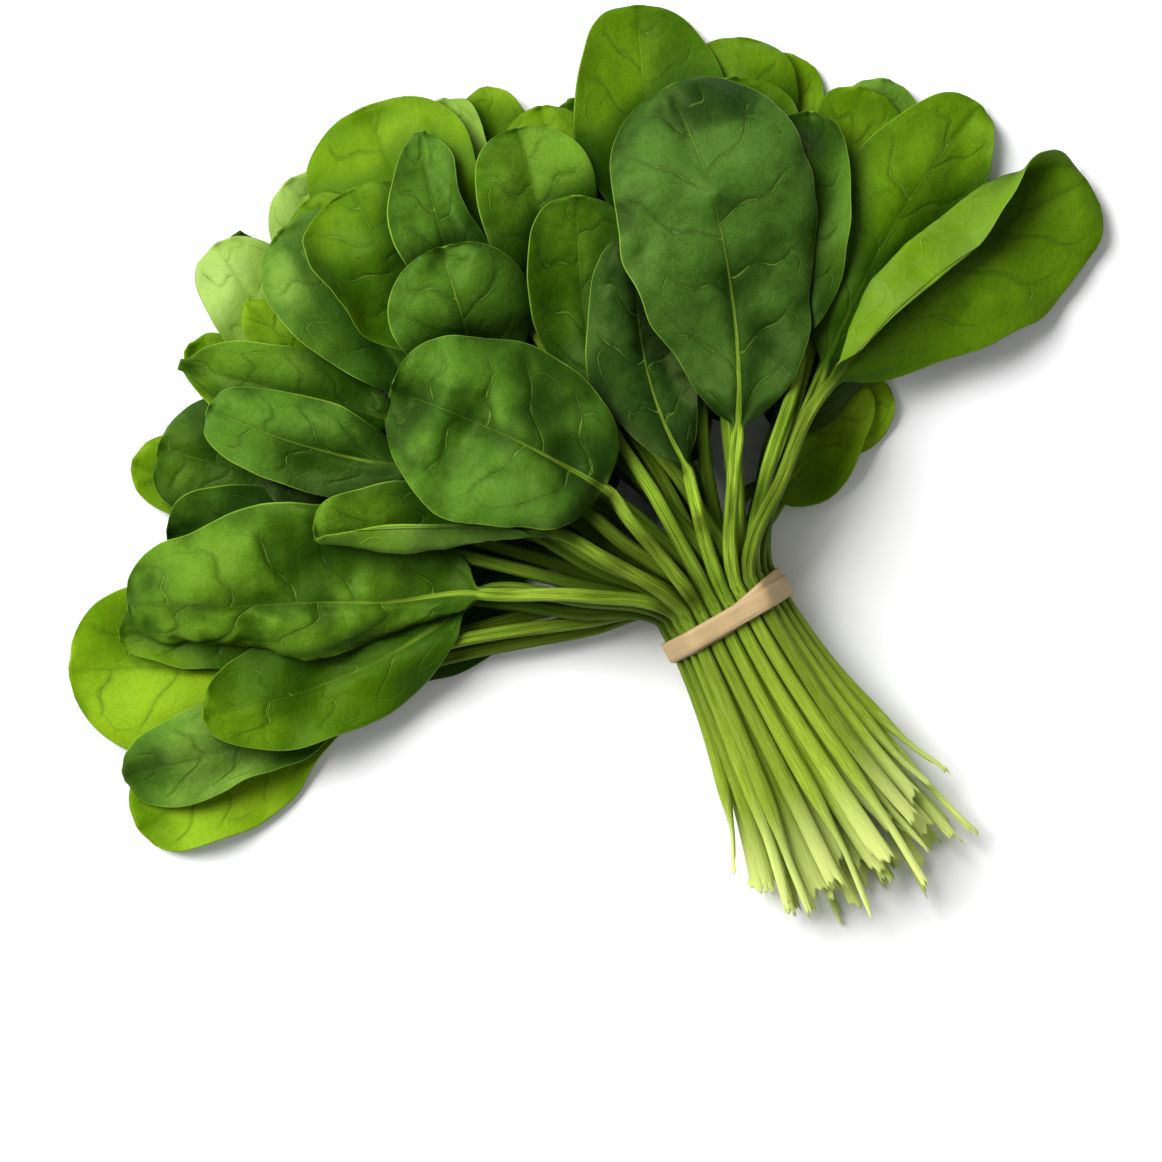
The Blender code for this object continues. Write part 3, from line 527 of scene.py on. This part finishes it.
def run_across(slope, s):
    """Integral across the blade from the midrib."""
    steps = (slope[:, 1:] + slope[:, :-1]) / 2 * np.diff(s)
    total = np.concatenate((np.zeros((len(slope), 1)), np.cumsum(steps, axis=1)), axis=1)
    return total - total[:, len(s) // 2][:, None]


def side_widths(k, leaf, t, s):
    """Width of each half against the part's: uneven, and wider where it folds over."""
    side = np.where(s < 0, -1.0, 1.0)
    wobble = uneven((6.0 * side, t * blade_length(leaf)), 17.0, 2.7 * k)
    wider = np.ones_like(wobble)
    for bend in BENDS.get(k + 1, ()):
        wider = np.where(side == bend.side, bend.reach, wider)
    wider = 1.0 + (wider - 1.0) * smooth((1.0 - t) / 0.45)
    return wider * (1.0 + 0.10 * wobble * smooth(t / 0.15))


def leaf_sheet(k, leaf, slot, g, s):
    """Centre line and faces of the fine leaf, and what its end, lift and colours follow."""
    wide, high = stem_half_sizes(g)
    fuller = STEM_FULLER * smooth(g / 0.15)
    line, wide, high, torn = trim_cut(k, centre_line(leaf, slot, g), wide + fuller, high + fuller,
                                      g, s[None, :])
    columns = s
    g, s, wide, high = g[:, None], s[None, :], wide[:, None], high[:, None]
    t = np.clip(g - 1.0, 0.0, 1.0)
    width = blade_half_width(leaf, t)
    spread = smooth((width - wide) / (2.5 * wide))
    angle = np.radians(90.0 - 87.0 * s)
    groove = 1.0 - (GROOVE_DEEP * np.exp(-((angle - math.pi / 2) / GROOVE_WIDE)**2)
                    * smooth((g + 1.6) / 0.6))
    full = np.clip(width / (0.4 * leaf.half), 0.0, 1.0)
    lean = lean_across(k, leaf, t, s, full)
    reach = np.maximum(width, wide) * (1.0 + (side_widths(k, leaf, t, s) - 1.0) * full)
    shift = SHIFTS.get(k + 1, 0.0) * smooth(t / 0.3) * smooth((1.0 - t) / 0.3)
    across = reach * run_across(np.cos(lean), columns)
    height = reach * run_across(np.sin(lean), columns)
    calm = 1.0 - 0.7 * smooth(np.abs(lean) - 1.0)
    bulge = relief(k, leaf, t, s, width)
    swell = calm * edge_wave(leaf, t, s) + bulge
    rib_wide = 0.35 + 1.1 * wide * (1.0 - t)
    shape = np.exp(-(across / rib_wide)**2) * (np.abs(lean) < 1.2)
    rib = 0.95 * wide * (1.0 - t)**1.3 * shape
    channel = 0.55 * (1.0 - t) * shape
    rim = smooth((1.0 - np.abs(s)) * leaf.half / RIM_WIDE)
    half_thick = (RIM_THICK + (BLADE_THICK - RIM_THICK) * rim) / 2
    sides = section_faces(spread, (wide, high, angle), (across + shift, height, lean),
                          (half_thick - channel + swell, -half_thick - rib + swell), groove)
    return line, sides, across, torn, (across + shift) / np.maximum(width, wide), bulge


class Pile:
    """Highest point of everything placed so far, on a grid over the surface."""

    def __init__(self):
        shape = [int(size / CELL) + 1 for size in FIELD_SIZE]
        self.sharp, self.wide = np.zeros(shape), np.zeros(shape)
        self.prints = []

    def cell(self, points):
        return tuple(((points[..., i] - FIELD_LOW[i]) / CELL).astype(int) for i in (0, 1))

    def add(self, sides):
        """Draw a leaf: its print, its true heights, and heights a cell wider."""
        layer = np.zeros_like(self.sharp)
        for side in sides:
            self.draw(layer, side)
        self.prints.append(layer > 0.0)
        self.sharp = np.maximum(self.sharp, layer)
        for axis in (0, 1):
            layer = window(layer, 1, axis, np.max)
        self.wide = np.maximum(self.wide, layer)

    def draw(self, layer, points):
        """Mark a face on the layer, at more points than it has."""
        rows = np.linspace(0, len(points) - 1, 4 * len(points) - 3)
        i = np.minimum(rows.astype(int), len(points) - 2)
        u = (rows - i)[:, None, None]
        points = points[i] * (1 - u) + points[i + 1] * u
        points = np.concatenate((points, (points[:, 1:] + points[:, :-1]) / 2), axis=1)
        np.maximum.at(layer, self.cell(points), points[..., 2])

    def floor(self, points):
        """Height that a new leaf has to clear at these points, 0 by the band."""
        cell = self.cell(points)
        aside = np.maximum(np.abs(points[..., 0]) - BAND_HALF, 0.0)
        distance = np.hypot(aside, points[..., 1])
        ramp = smooth((distance - CLEAR_START) / (CLEAR_FULL - CLEAR_START))
        floor = np.where(distance < SHARP_REACH, self.sharp[cell], self.wide[cell])
        return np.where((distance > CLEAR_START) & (points[..., 1] > 0), floor + GAP * ramp, 0.0)


def window(values, radius, axis, combine):
    """Combine each value with its neighbours along an axis."""
    padded = np.pad(values, [(radius, radius) if i == axis else (0, 0) for i in (0, 1)], "edge")
    views = [np.take(padded, range(i, i + values.shape[axis]), axis) for i in range(2 * radius + 1)]
    return combine(views, axis=0)


def spread_out(values, radius):
    """Mean over a square, twice, by running sums."""
    size = 2 * radius + 1
    for axis in (0, 1, 0, 1):
        padded = np.pad(values, [(radius + 1, radius) if i == axis else (0, 0) for i in (0, 1)])
        total = np.cumsum(padded, axis=axis)
        high = np.take(total, range(size, total.shape[axis]), axis)
        low = np.take(total, range(0, total.shape[axis] - size), axis)
        values = (high - low) / size
    return values


def shade_maps(pile):
    """For each leaf, a map of how closely the leaves above crowd it, 0 to 1: the painted shade they
    cast on it.
    """
    above, found = np.zeros_like(pile.sharp), []
    for footprint in reversed(pile.prints):
        found.append(spread_out(above, CROWD))
        above = np.maximum(above, footprint)
    return found[::-1]


def depth_in(pile):
    """A function that tells how deep points lie among their neighbours, 0 to 1, for the painted shade
    in hollows of the pile.
    """
    cover = pile.sharp
    for axis in (0, 1):
        cover = window(cover, DEEP_NEAR, axis, np.max)
    cover = spread_out(cover, DEEP_WIDE)
    return lambda points: smooth((cover[pile.cell(points)] - points[..., 2] - 1.0) / DEEP_FULL)


def envelope(lack, rows, columns):
    """A soft cover over the lacking heights."""
    for combine in (np.max, np.mean):
        lack = window(window(lack, rows, 0, combine), columns, 1, combine)
    return lack


def settle(pile, line, bottom, lift, g):
    """Raise the fine leaf until it lies clear on the pile."""
    points = place(line, *bottom)
    on_stem, fixed = g <= 1.0, g <= 0.0
    for rows, columns in ((6, 5), (3, 2), (2, 1)):
        lack = np.maximum(pile.floor(points) - (points[..., 2] + lift), 0.0)
        lack[on_stem] = lack[on_stem].max(axis=1, keepdims=True)
        lack[fixed] = 0.0
        more = envelope(lack, rows, columns)
        more[on_stem] = more[on_stem].max(axis=1, keepdims=True)
        more *= smooth(g / 0.15)[:, None]
        lift = lift + more
    return lift


def fine_leaf(k, leaf, slot, pile):
    """Points of the top and bottom of a fine leaf and what its material needs to know."""
    g, s = fine_grid(leaf, slot)
    lift = node_lift(leaf, slot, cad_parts[f"leaf_{k + 1:02d}"])
    lift = curve_through(np.array(NODE_STATIONS), lift, np.minimum(g, NODE_STATIONS[-1]))
    line, (top, bottom), across, torn, column, bulge = leaf_sheet(k, leaf, slot, g, s)
    columns = np.array(NODE_COLUMNS)
    lift = np.stack([curve_through(columns, row[:, None], np.clip(at, -1.0, 1.0))[:, 0]
                     for row, at in zip(lift, column)])
    raised = smooth((g - 0.35) / 0.75) * (0.35 + 0.65 * smooth((g - 0.9) / 0.6))
    lift = lift + ROW_RAISE[slot[0]] * raised[:, None]
    lift = settle(pile, line, bottom, lift, g)
    sides = []
    for flat in (top, bottom):
        points = place(line, *flat)
        points[..., 1] += torn
        lowest = LOWEST_BOTTOM if flat is bottom else LOWEST_TOP
        points[..., 2] = np.maximum(points[..., 2] + lift, lowest)
        sides.append(points)
    pile.add(sides)
    t = np.broadcast_to((g - 1.0)[:, None], across.shape)
    left, right = side_veins(k, leaf, t, s[None, :])
    # the last value, larger where the relief sinks, sets painted shade in hollows and painted light on
    # swells
    return sides, t, np.broadcast_to(s, t.shape), left, right, across, smooth(0.5 - 0.36 * bulge)


def lattice_faces(rows, columns):
    """Quads of a closed leaf: top, bottom and the wall between them."""
    grid = np.arange(rows * columns).reshape(rows, columns)
    top = np.stack((grid[:-1, :-1], grid[:-1, 1:], grid[1:, 1:], grid[1:, :-1]), axis=-1)
    top = top.reshape(-1, 4)
    around = np.concatenate((grid[0], grid[1:, -1], grid[-1, -2::-1], grid[-2:0:-1, 0]))
    after = np.roll(around, -1)
    wall = np.stack((after, around, around + grid.size, after + grid.size), axis=1)
    return np.concatenate((top, top[:, ::-1] + grid.size, wall))


def put(name, data):
    """A new object in the scene."""
    thing = bpy.data.objects.new(name, data)
    bpy.context.scene.collection.objects.link(thing)
    return thing


def new_mesh(name, points, faces, material, **attributes):
    """A smooth mesh object in millimetres; each attribute holds three values for every point."""
    mesh = bpy.data.meshes.new(name)
    mesh.from_pydata((points * MM).tolist(), [], faces.tolist())
    for key, values in attributes.items():
        layer = mesh.attributes.new(key, "FLOAT_VECTOR", "POINT")
        layer.data.foreach_set("vector", np.stack(values, axis=-1).astype(np.float32).ravel())
    mesh.shade_smooth()
    mesh.materials.append(material)
    return put(name, mesh)


# ------ materials

class Nodes:
    """Short calls for building a material."""

    def __init__(self, name):
        self.material = bpy.data.materials.new(name)
        self.material.use_nodes = True
        self.tree = self.material.node_tree
        self.tree.nodes.clear()

    def add(self, kind, settings=(), **inputs):
        """A node with its settings; an input goes by its name, or by i and its number."""
        made = self.tree.nodes.new(kind)
        for key, value in dict(settings).items():
            setattr(made, key, value)
        for key, value in inputs.items():
            self.join(value, made.inputs[int(key[1:]) if key[1:].isdigit() else
                                         key.replace("_", " ")])
        return made

    def join(self, value, socket):
        """Link a socket to another, or set it to a number or to a colour in thousandths."""
        if isinstance(value, bpy.types.NodeSocket):
            self.tree.links.new(value, socket)
        elif isinstance(value, tuple):
            socket.default_value = (*(part / 1000 for part in value), 1.0)
        else:
            socket.default_value = value

    def math(self, operation, a, b=0.0, c=0.0):
        return self.add("ShaderNodeMath", {"operation": operation}, i0=a, i1=b, i2=c).outputs[0]

    times = partialmethod(math, "MULTIPLY")
    minus = partialmethod(math, "SUBTRACT")
    scaled = partialmethod(math, "MULTIPLY_ADD")
    absolute = partialmethod(math, "ABSOLUTE")

    def most(self, *values):
        return reduce(partial(self.math, "MAXIMUM"), values)

    def weighted(self, *pairs):
        """Sum of values, each times its share."""
        total = 0.0
        for value, share in pairs:
            total = self.scaled(value, share, total)
        return total

    def step(self, value, low, high, to_low=0.0, to_high=1.0):
        made = self.add("ShaderNodeMapRange", {"interpolation_type": "SMOOTHSTEP"},
                        i0=value, i1=low, i2=high, i3=to_low, i4=to_high)
        return made.outputs[0]

    def layers(self, colour, *coats):
        """A colour with others laid over it in turn: where, how much at most, which."""
        for where, most, paint in coats:
            made = self.add("ShaderNodeMix", {"data_type": "RGBA"}, i0=self.times(where, most),
                            i6=colour, i7=paint)
            colour = made.outputs[2]
        return colour

    def vector(self, name):
        source = self.add("ShaderNodeAttribute", {"attribute_name": name}).outputs["Vector"]
        return self.add("ShaderNodeSeparateXYZ", i0=source).outputs[:3]

    def spot(self):
        return self.add("ShaderNodeTexCoord").outputs["Object"]

    def noise(self, vector, scale, detail=2.0, output=0):
        made = self.add("ShaderNodeTexNoise", Vector=vector, Scale=scale, Detail=detail)
        return made.outputs[output]

    def cracks(self, vector, scale):
        made = self.add("ShaderNodeTexVoronoi", {"feature": "DISTANCE_TO_EDGE"},
                        Vector=vector, Scale=scale)
        return made.outputs[0]

    def finish(self, shader):
        self.add("ShaderNodeOutputMaterial", Surface=shader.outputs[0])
        return self.material


# Linear colours in thousandths, and the strength of the gloss
# The rim colour is a paler margin, partly a painted highlight where the edge catches light
VEIN, RIM_PALE_AND_HIGHLIGHT, GLOW = (200, 345, 35), (210, 365, 30), (260, 460, 3)
# The third stem colour is painted shade for stems deep in the pile
STEM_GREEN, STEM_LIGHT, STEM_PAINTED_SHADE = (120, 215, 9), (255, 375, 32), (20, 60, 2)
STEM_PALE, STEM_PALER, STEM_END = (265, 400, 18), (450, 590, 70), (760, 860, 260)
SPECULAR, SPECULAR_TINT = 0.18, (700, 1000, 250)
BAND_TAN, BAND_DUSTY = (350, 240, 108), (425, 300, 142)
BAND_MARK, BAND_EDGE = (255, 165, 70), (220, 140, 60)
FLOOR_GREY, FLOOR_WHITE = (860, 860, 860), (900, 900, 900)

# In mm: half widths of veins, reach of the strips of painted groove shade beside them, wander of the
# veins
VEIN_HALF, VEIN_HALF_OUTSIDE, VEIN_STRIP = 0.30, 0.16, 1.8
LOOP_HALF, LOOP_STRIP = 0.20, 1.4
RIB_FADE, RIB_STRIP = 0.30, 1.7
WANDER = 0.8
LOOPS_AT, LOOPS_ARCH = 0.64, 0.15  # where the loops lie across a half, as shares of it


def side_vein_marks(n, leaf, f):
    """Side veins and the loops that join them, and the strips beside both, where shade is painted in
    the grooves.
    """
    count = n.scaled(n.minus(f.right, f.left), n.math("GREATER_THAN", f.s, 0.0), f.left)
    part = n.math("FRACT", count)
    wobble = n.scaled(n.noise(f.spot, 200.0), 2 * WANDER, -WANDER)
    off = n.minus(0.5, n.absolute(n.minus(part, 0.5)))
    off = n.absolute(n.scaled(off, blade_length(leaf) / vein_count(leaf), wobble))
    on_blade = n.times(n.step(f.t, 0.02, 0.10), n.step(f.t, 0.97, 0.88))
    reach = n.times(n.step(f.a, 0.84, 0.60), on_blade)
    half = n.step(f.a, 0.1, 0.9, VEIN_HALF, VEIN_HALF_OUTSIDE)
    arch = n.scaled(n.math("SINE", n.times(part, math.pi)), LOOPS_ARCH, LOOPS_AT)
    arc = n.absolute(n.scaled(n.minus(f.a, arch), leaf.half, wobble))
    joined = n.times(on_blade, n.step(n.noise(f.spot, 45.0, 1.0), 0.42, 0.60))
    return (n.times(n.step(off, half, 0.04), reach),
            n.times(n.step(off, VEIN_STRIP, 0.2), reach),
            n.times(n.step(arc, LOOP_HALF, 0.03), joined),
            n.times(n.step(arc, LOOP_STRIP, 0.1), joined))


def midrib_marks(n, f):
    """Midrib, thinner towards the tip, and the strips beside it, where shade is painted in the groove.
    """
    left_over = n.minus(1.0, n.most(f.t, 0.0))
    off = n.minus(n.absolute(f.across), n.scaled(n.math("POWER", left_over, 3.2), 0.85, 0.02))
    rib = n.times(n.step(off, RIB_FADE, -0.05), n.step(f.t, 0.96, 0.85))
    return rib, n.step(off, RIB_STRIP, 0.1)


def leaf_fields(n, leaf):
    """Values over a leaf: place on it, painted shade from its neighbours, veins, network and clouds.
    """
    f = SimpleNamespace(spot=n.spot())
    f.t, f.s, f.under = n.vector("blade")
    f.left, f.right, f.across = n.vector("veins")
    # painted shade: how deep the point lies, how closely leaves above crowd it, and how low the relief
    # lies
    f.deep, f.crowd, f.low = n.vector("depth")
    f.a = n.absolute(f.s)
    f.core, f.strip, f.loop, f.loop_strip = side_vein_marks(n, leaf, f)
    f.rib, f.rib_strip = midrib_marks(n, f)
    f.is_stem = n.step(f.t, 0.03, -0.05)
    f.on_stem = n.most(f.is_stem, f.rib)
    bent = n.add("ShaderNodeMix", {"data_type": "VECTOR"}, i0=0.0045, i4=f.spot,
                 i5=n.noise(f.spot, 260.0, output=1)).outputs[1]
    f.cells, f.small_cells = n.cracks(bent, 130.0), n.cracks(bent, 620.0)
    f.cloud, f.mottle = n.noise(f.spot, 48.0, 3.0), n.noise(f.spot, 260.0, 4.0)
    return f


def stem_colour(n, f, seed):
    """Stem: green by the blade, paler and yellower to the cut end, with lengthwise fibres."""
    own = 1.0 + 0.28 * math.sin(1.9 * seed)
    green, light, pale, paler = (tuple(own * part for part in colour) for colour in
                                 (STEM_GREEN, STEM_LIGHT, STEM_PALE, STEM_PALER))
    long = n.add("ShaderNodeCombineXYZ", X=n.times(f.across, 2.2), Y=n.times(f.t, 3.0),
                 Z=seed).outputs[0]
    f.fibres, f.strands = n.noise(long, 1.6, 3.0), n.noise(long, 4.5)
    old = n.layers(pale, (n.step(f.strands, 0.40, 0.62), 1.0, paler))
    return n.layers(green, (n.step(f.fibres, 0.38, 0.62), 1.0, light),
                    (n.step(f.t, -1.7, -2.75), 1.0, old),
                    (n.step(f.t, -2.55, -3.0), 1.0, STEM_END))


def leaf_colour(n, leaf, tone, f, seed):
    """Clouded green with veins, a pale rim that is partly a painted highlight, and the stem; painted
    shade in hollows of the relief, beside the veins, towards the stem and where neighbours crowd it,
    and painted light on its swells.
    """
    cells, pores = n.step(f.cells, 0.05, 0.0), n.step(f.small_cells, 0.16, 0.0)
    # random clouds, with painted light on swells and painted shade in hollows of the relief
    clouds_and_ridge_light = n.weighted((f.cloud, 0.6), (f.mottle, 0.40), (f.low, -0.30))
    # random dark blotches, with painted shade where the relief sinks
    blotch_and_hollow_shade = n.scaled(f.low, 0.35, n.noise(f.spot, 26.0, 1.0))
    # painted shade in the grooves beside the side veins, loops and midrib
    vein_groove_shade = n.most(f.strip, n.times(f.loop_strip, 0.6), n.times(f.rib_strip, 0.8))
    top = n.layers(tone.body,
                   (n.step(clouds_and_ridge_light, 0.18, 0.56), 1.0, tone.light),
                   (n.step(blotch_and_hollow_shade, 0.62, 0.95), 0.70, tone.shade),
                   (cells, 0.10, tone.light),
                   (pores, 0.12, tone.shade),
                   (vein_groove_shade, 0.30, tone.shade),
                   # painted shade towards the stem end of the blade
                   (n.step(f.t, 0.55, 0.0), 0.55, tone.shade),
                   (n.step(n.noise(f.spot, 1300.0), 0.40, 0.75), 0.22, tone.shade))
    below = n.layers(tone.under,
                     (n.step(f.cloud, 0.3, 0.7), 1.0, tone.light),
                     (n.most(n.times(f.core, 0.7), n.times(cells, 0.30)), 1.0, VEIN))
    pale = 0.34 if tone.through < 0.15 else 0.50
    edge = n.times(n.minus(1.0, f.a), leaf.half)
    tip = n.times(n.minus(1.0, f.t), blade_length(leaf))
    # painted shade where the leaf lies deep among its neighbours or under leaves above, less on the
    # cut ends
    painted_pile_shade = n.most(n.times(f.deep, 0.80), n.times(f.crowd, n.scaled(f.is_stem, -0.45, 0.85)))
    return n.layers(top, (f.under, 1.0, below),
                    (n.most(f.core, n.times(f.loop, 0.7)), pale, VEIN),
                    # pale rim: paler margin, partly a painted highlight where the edge catches light
                    (n.step(n.math("MINIMUM", edge, tip), 0.50, 0.15), 0.70, RIM_PALE_AND_HIGHLIGHT),
                    (f.on_stem, n.step(f.t, 0.5, 0.0, 0.35, 1.0), stem_colour(n, f, seed)),
                    (painted_pile_shade, n.step(f.t, -1.6, -2.6, 1.0, 0.35),
                     n.layers(tone.shade, (f.is_stem, 1.0, STEM_PAINTED_SHADE))))


def leaf_height(n, f):
    """Fine relief: sunken veins, raised cells and clouds, and fibres along the stem."""
    blade = n.weighted((f.core, -0.60), (f.loop, -0.40), (f.strip, -0.30),
                       (n.step(f.cells, 0.0, 0.25), 0.16), (n.step(f.small_cells, 0.0, 0.4), 0.07),
                       (f.mottle, 0.45), (f.cloud, 0.8))
    blade = n.times(blade, n.scaled(f.under, -2.0, 1.0))
    ridges = n.weighted((f.fibres, 0.9), (f.strands, 0.35))
    return n.scaled(n.minus(ridges, blade), f.on_stem, blade)


def leaf_material(k, leaf):
    """One leaf: veined, quilted blade on a fibrous stem."""
    tone, n = TONES[LEAF_TONES[k]], Nodes(f"leaf_skin_{k + 1:02d}")
    f = leaf_fields(n, leaf)
    colour = leaf_colour(n, leaf, tone, f, 3.7 * k)
    bump = n.add("ShaderNodeBump", Strength=0.7, Distance=0.0006, Height=leaf_height(n, f))
    rough = n.step(f.cloud, 0.25, 0.75, 0.46, 0.60)
    rough = n.scaled(n.minus(0.6, rough), f.under, rough)
    skin = n.add("ShaderNodeBsdfPrincipled", Base_Color=colour, Roughness=rough,
                 Normal=bump.outputs[0], Specular_IOR_Level=SPECULAR, Specular_Tint=SPECULAR_TINT)
    glowing = n.minus(1.0, f.is_stem), min(0.6, 2.2 * tone.through), GLOW
    glow = n.add("ShaderNodeBsdfTranslucent", Normal=bump.outputs[0], Color=n.layers(colour, glowing))
    return n.finish(n.add("ShaderNodeMixShader", i0=tone.through, i1=skin.outputs[0],
                          i2=glow.outputs[0]))


def band_material():
    """Tan rubber with a dusty bloom, fine lengthwise marks and darker edges."""
    n = Nodes("band_skin")
    along, across, _ = n.vector("strip")
    long = n.add("ShaderNodeCombineXYZ", X=n.times(along, 0.03), Y=n.times(across, 1.6)).outputs[0]
    marks, dust = n.noise(long, 3.0, 3.0), n.noise(n.spot(), 160.0, 4.0)
    colour = n.layers(BAND_TAN, (n.step(dust, 0.3, 0.7), 1.0, BAND_DUSTY),
                      (n.step(marks, 0.45, 0.75), 0.35, BAND_MARK),
                      (n.step(n.absolute(across), 0.80, 1.0), 0.45, BAND_EDGE))
    bump = n.add("ShaderNodeBump", Strength=0.35, Distance=0.0003, Height=n.scaled(dust, 0.5, marks))
    return n.finish(n.add("ShaderNodeBsdfPrincipled", Base_Color=colour, Normal=bump.outputs[0],
                          Roughness=n.step(dust, 0.3, 0.7, 0.52, 0.68)))


def floor_material():
    n = Nodes("floor_skin")
    colour = n.layers(FLOOR_GREY, (n.noise(n.spot(), 30.0), 1.0, FLOOR_WHITE))
    return n.finish(n.add("ShaderNodeBsdfPrincipled", Base_Color=colour, Roughness=0.9,
                          Specular_IOR_Level=0.0))


# ------ rubber band

STRIP_WIDTH, STRIP_THICK, STRIP_APART = 6.5, 0.62, 0.02
STRIP_SOFT, STRIP_SHOULDER, STRIP_CROWN = 0.18, 0.05, 0.06  # of its section
STRIP_POINTS = 240          # to one turn
SWAP = 0.05                 # share of a turn in which the strip passes from under to over
# Where the middles of the two turns lie along the stems, and how they run off across the bunch
OUTER_AT, OUTER_TILT = -2.3, 0.03
INNER_AT, INNER_RIGHT, INNER_LEFT = -2.9, 4.2, 0.4


def band_outline():
    """Convex path round the stems in the band: even points, outward normals, length."""
    ends = [((column - (count - 1) / 2) * STEM_PITCH, slot_height(row))
            for row, count in enumerate(ROW_SIZES) for column in (0, count - 1)]
    angles = np.linspace(0.0, 2 * math.pi, STRIP_POINTS, endpoint=False) - math.pi / 2
    ways = np.stack((np.cos(angles), np.sin(angles)), axis=1)
    corner = np.array(ends)[(np.array(ends) @ ways.T).argmax(axis=0)]
    points = corner + (STEM_RADIUS + BAND_PLAY) * ways
    loop = np.concatenate((points, points[:1]))
    run = np.concatenate(((0.0,), np.cumsum(np.hypot(*np.diff(loop, axis=0).T))))
    at = np.linspace(0.0, run[-1], STRIP_POINTS, endpoint=False)
    even = np.stack([np.interp(at, run, loop[:, i]) for i in (0, 1)], axis=1)
    way = np.roll(even, -1, axis=0) - np.roll(even, 1, axis=0)
    way /= np.hypot(*way.T)[:, None]
    return even, np.stack((way[:, 1], -way[:, 0]), axis=1), run[-1]


def wound_band():
    """The strip wound twice; the outer turn lies level, the inner one crosses under it."""
    path, normal, girth = band_outline()
    turn = np.arange(2 * STRIP_POINTS) / STRIP_POINTS
    path, normal = np.tile(path, (2, 1)), np.tile(normal, (2, 1))
    outer = smooth(turn / SWAP) * smooth((1.0 - turn) / SWAP) * (turn < 1.0)
    x = path[:, 0]
    level = OUTER_AT + OUTER_TILT * x
    crossing = (INNER_AT + INNER_RIGHT * smooth((x + 4.0) / 26.0)
                - INNER_LEFT * smooth((-x - 2.0) / 20.0))
    centre = outer * level + (1.0 - outer) * crossing
    lift = outer * (STRIP_THICK + STRIP_APART)
    half, thick, soft = STRIP_WIDTH / 2, STRIP_THICK, STRIP_SOFT
    right = [(half - soft, 0.0), (half, soft), (half, thick - soft), (half - soft, thick),
             (half / 2, thick + STRIP_SHOULDER)]
    section = right + [(0.0, thick + STRIP_CROWN)] + [(-y, out) for y, out in right[::-1]]
    points = np.array([[(p[0] + w[0] * (out + up), c + y, p[1] + w[1] * (out + up))
                        for y, out in section]
                       for p, w, c, up in zip(path, normal, centre, lift)])
    grid = np.arange(points.shape[0] * points.shape[1]).reshape(points.shape[:2])
    onward = np.roll(grid, -1, axis=0)
    faces = np.stack((grid, np.roll(grid, -1, axis=1), np.roll(onward, -1, axis=1), onward), axis=-1)
    across = np.array([y for y, _ in section]) / half
    strip = [v.ravel() for v in np.broadcast_arrays(turn[:, None] * girth, across, 0.0)]
    return points.reshape(-1, 3), faces.reshape(-1, 4), strip


# ------ the bunch

def make_leaves():
    pile = Pile()
    laid = [fine_leaf(k, leaf, slot, pile) for k, (leaf, slot) in enumerate(zip(LEAVES, slots()))]
    depth, shades = depth_in(pile), shade_maps(pile)
    for k, (sides, *fields) in enumerate(laid):
        points = np.concatenate([side.reshape(-1, 3) for side in sides])
        t, s, left, right, across, low = (np.tile(field.ravel(), 2) for field in fields)
        under = np.repeat((0.0, 1.0), len(t) // 2)
        shaded = OPEN.get(k + 1, 1.0)
        # painted shade from the leaves above, less on leaves that light reaches from the side
        crowd = shaded * smooth(shades[k][pile.cell(points)] / 0.5)
        piece = new_mesh(f"spinach_leaf_{k + 1:02d}", points, lattice_faces(*fields[0].shape),
                         leaf_material(k, LEAVES[k]), blade=(t, s, under),
                         veins=(left, right, across), depth=(shaded * depth(points), crowd, low))
        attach(piece, "root")
        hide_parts(f"leaf_{k + 1:02d}")


def make_band():
    points, faces, strip = wound_band()
    piece = new_mesh("tan_rubber_band", points, faces, band_material(), strip=strip)
    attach(piece, "root")
    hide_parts("rubber_band")


# ------ floor, light, camera

# Camera and light in metres, degrees and watts; floor and sensor in millimetres
CAMERA_HEIGHT, CAMERA_VIEW, SENSOR = 1.2, 0.36, 36.0
CAMERA_AT, CAMERA_TURN = (-0.0341, 0.029), -28.0
FLOOR_HALF, WORLD_LIGHT = 3000.0, 0.36
KEY_AT, KEY_AIM, KEY_SIZE, KEY_POWER = (-0.50, 1.00, 1.05), (0.0, 0.03, 0.02), 1.10, 47.0


def make_stage():
    corners = FLOOR_HALF * np.array(((-1, -1, 0), (1, -1, 0), (1, 1, 0), (-1, 1, 0)))
    floor = new_mesh("floor", corners, np.arange(4)[None, :], floor_material())

    world = bpy.data.worlds.new("studio")
    world.use_nodes = True
    back = world.node_tree.nodes["Background"]
    back.inputs["Color"].default_value = (1.0, 1.0, 1.0, 1.0)
    back.inputs["Strength"].default_value = WORLD_LIGHT
    bpy.context.scene.world = world
    light = bpy.data.lights.new("key", "AREA")
    light.size, light.energy = KEY_SIZE, KEY_POWER
    lamp = put("key", light)
    lamp.location = KEY_AT
    aim = Vector(KEY_AIM) - Vector(KEY_AT)
    lamp.rotation_euler = aim.to_track_quat("-Z", "Y").to_euler()
    bpy.context.scene.view_settings.view_transform = "Standard"


def make_camera():
    data = bpy.data.cameras.new("camera")
    data.sensor_width = SENSOR
    data.lens = SENSOR * CAMERA_HEIGHT / CAMERA_VIEW
    camera = put("camera", data)
    camera.location = (*CAMERA_AT, CAMERA_HEIGHT)
    camera.rotation_euler = (0.0, 0.0, math.radians(CAMERA_TURN))
    bpy.context.scene.camera = camera


make_camera()
make_leaves()
make_band()
make_stage()
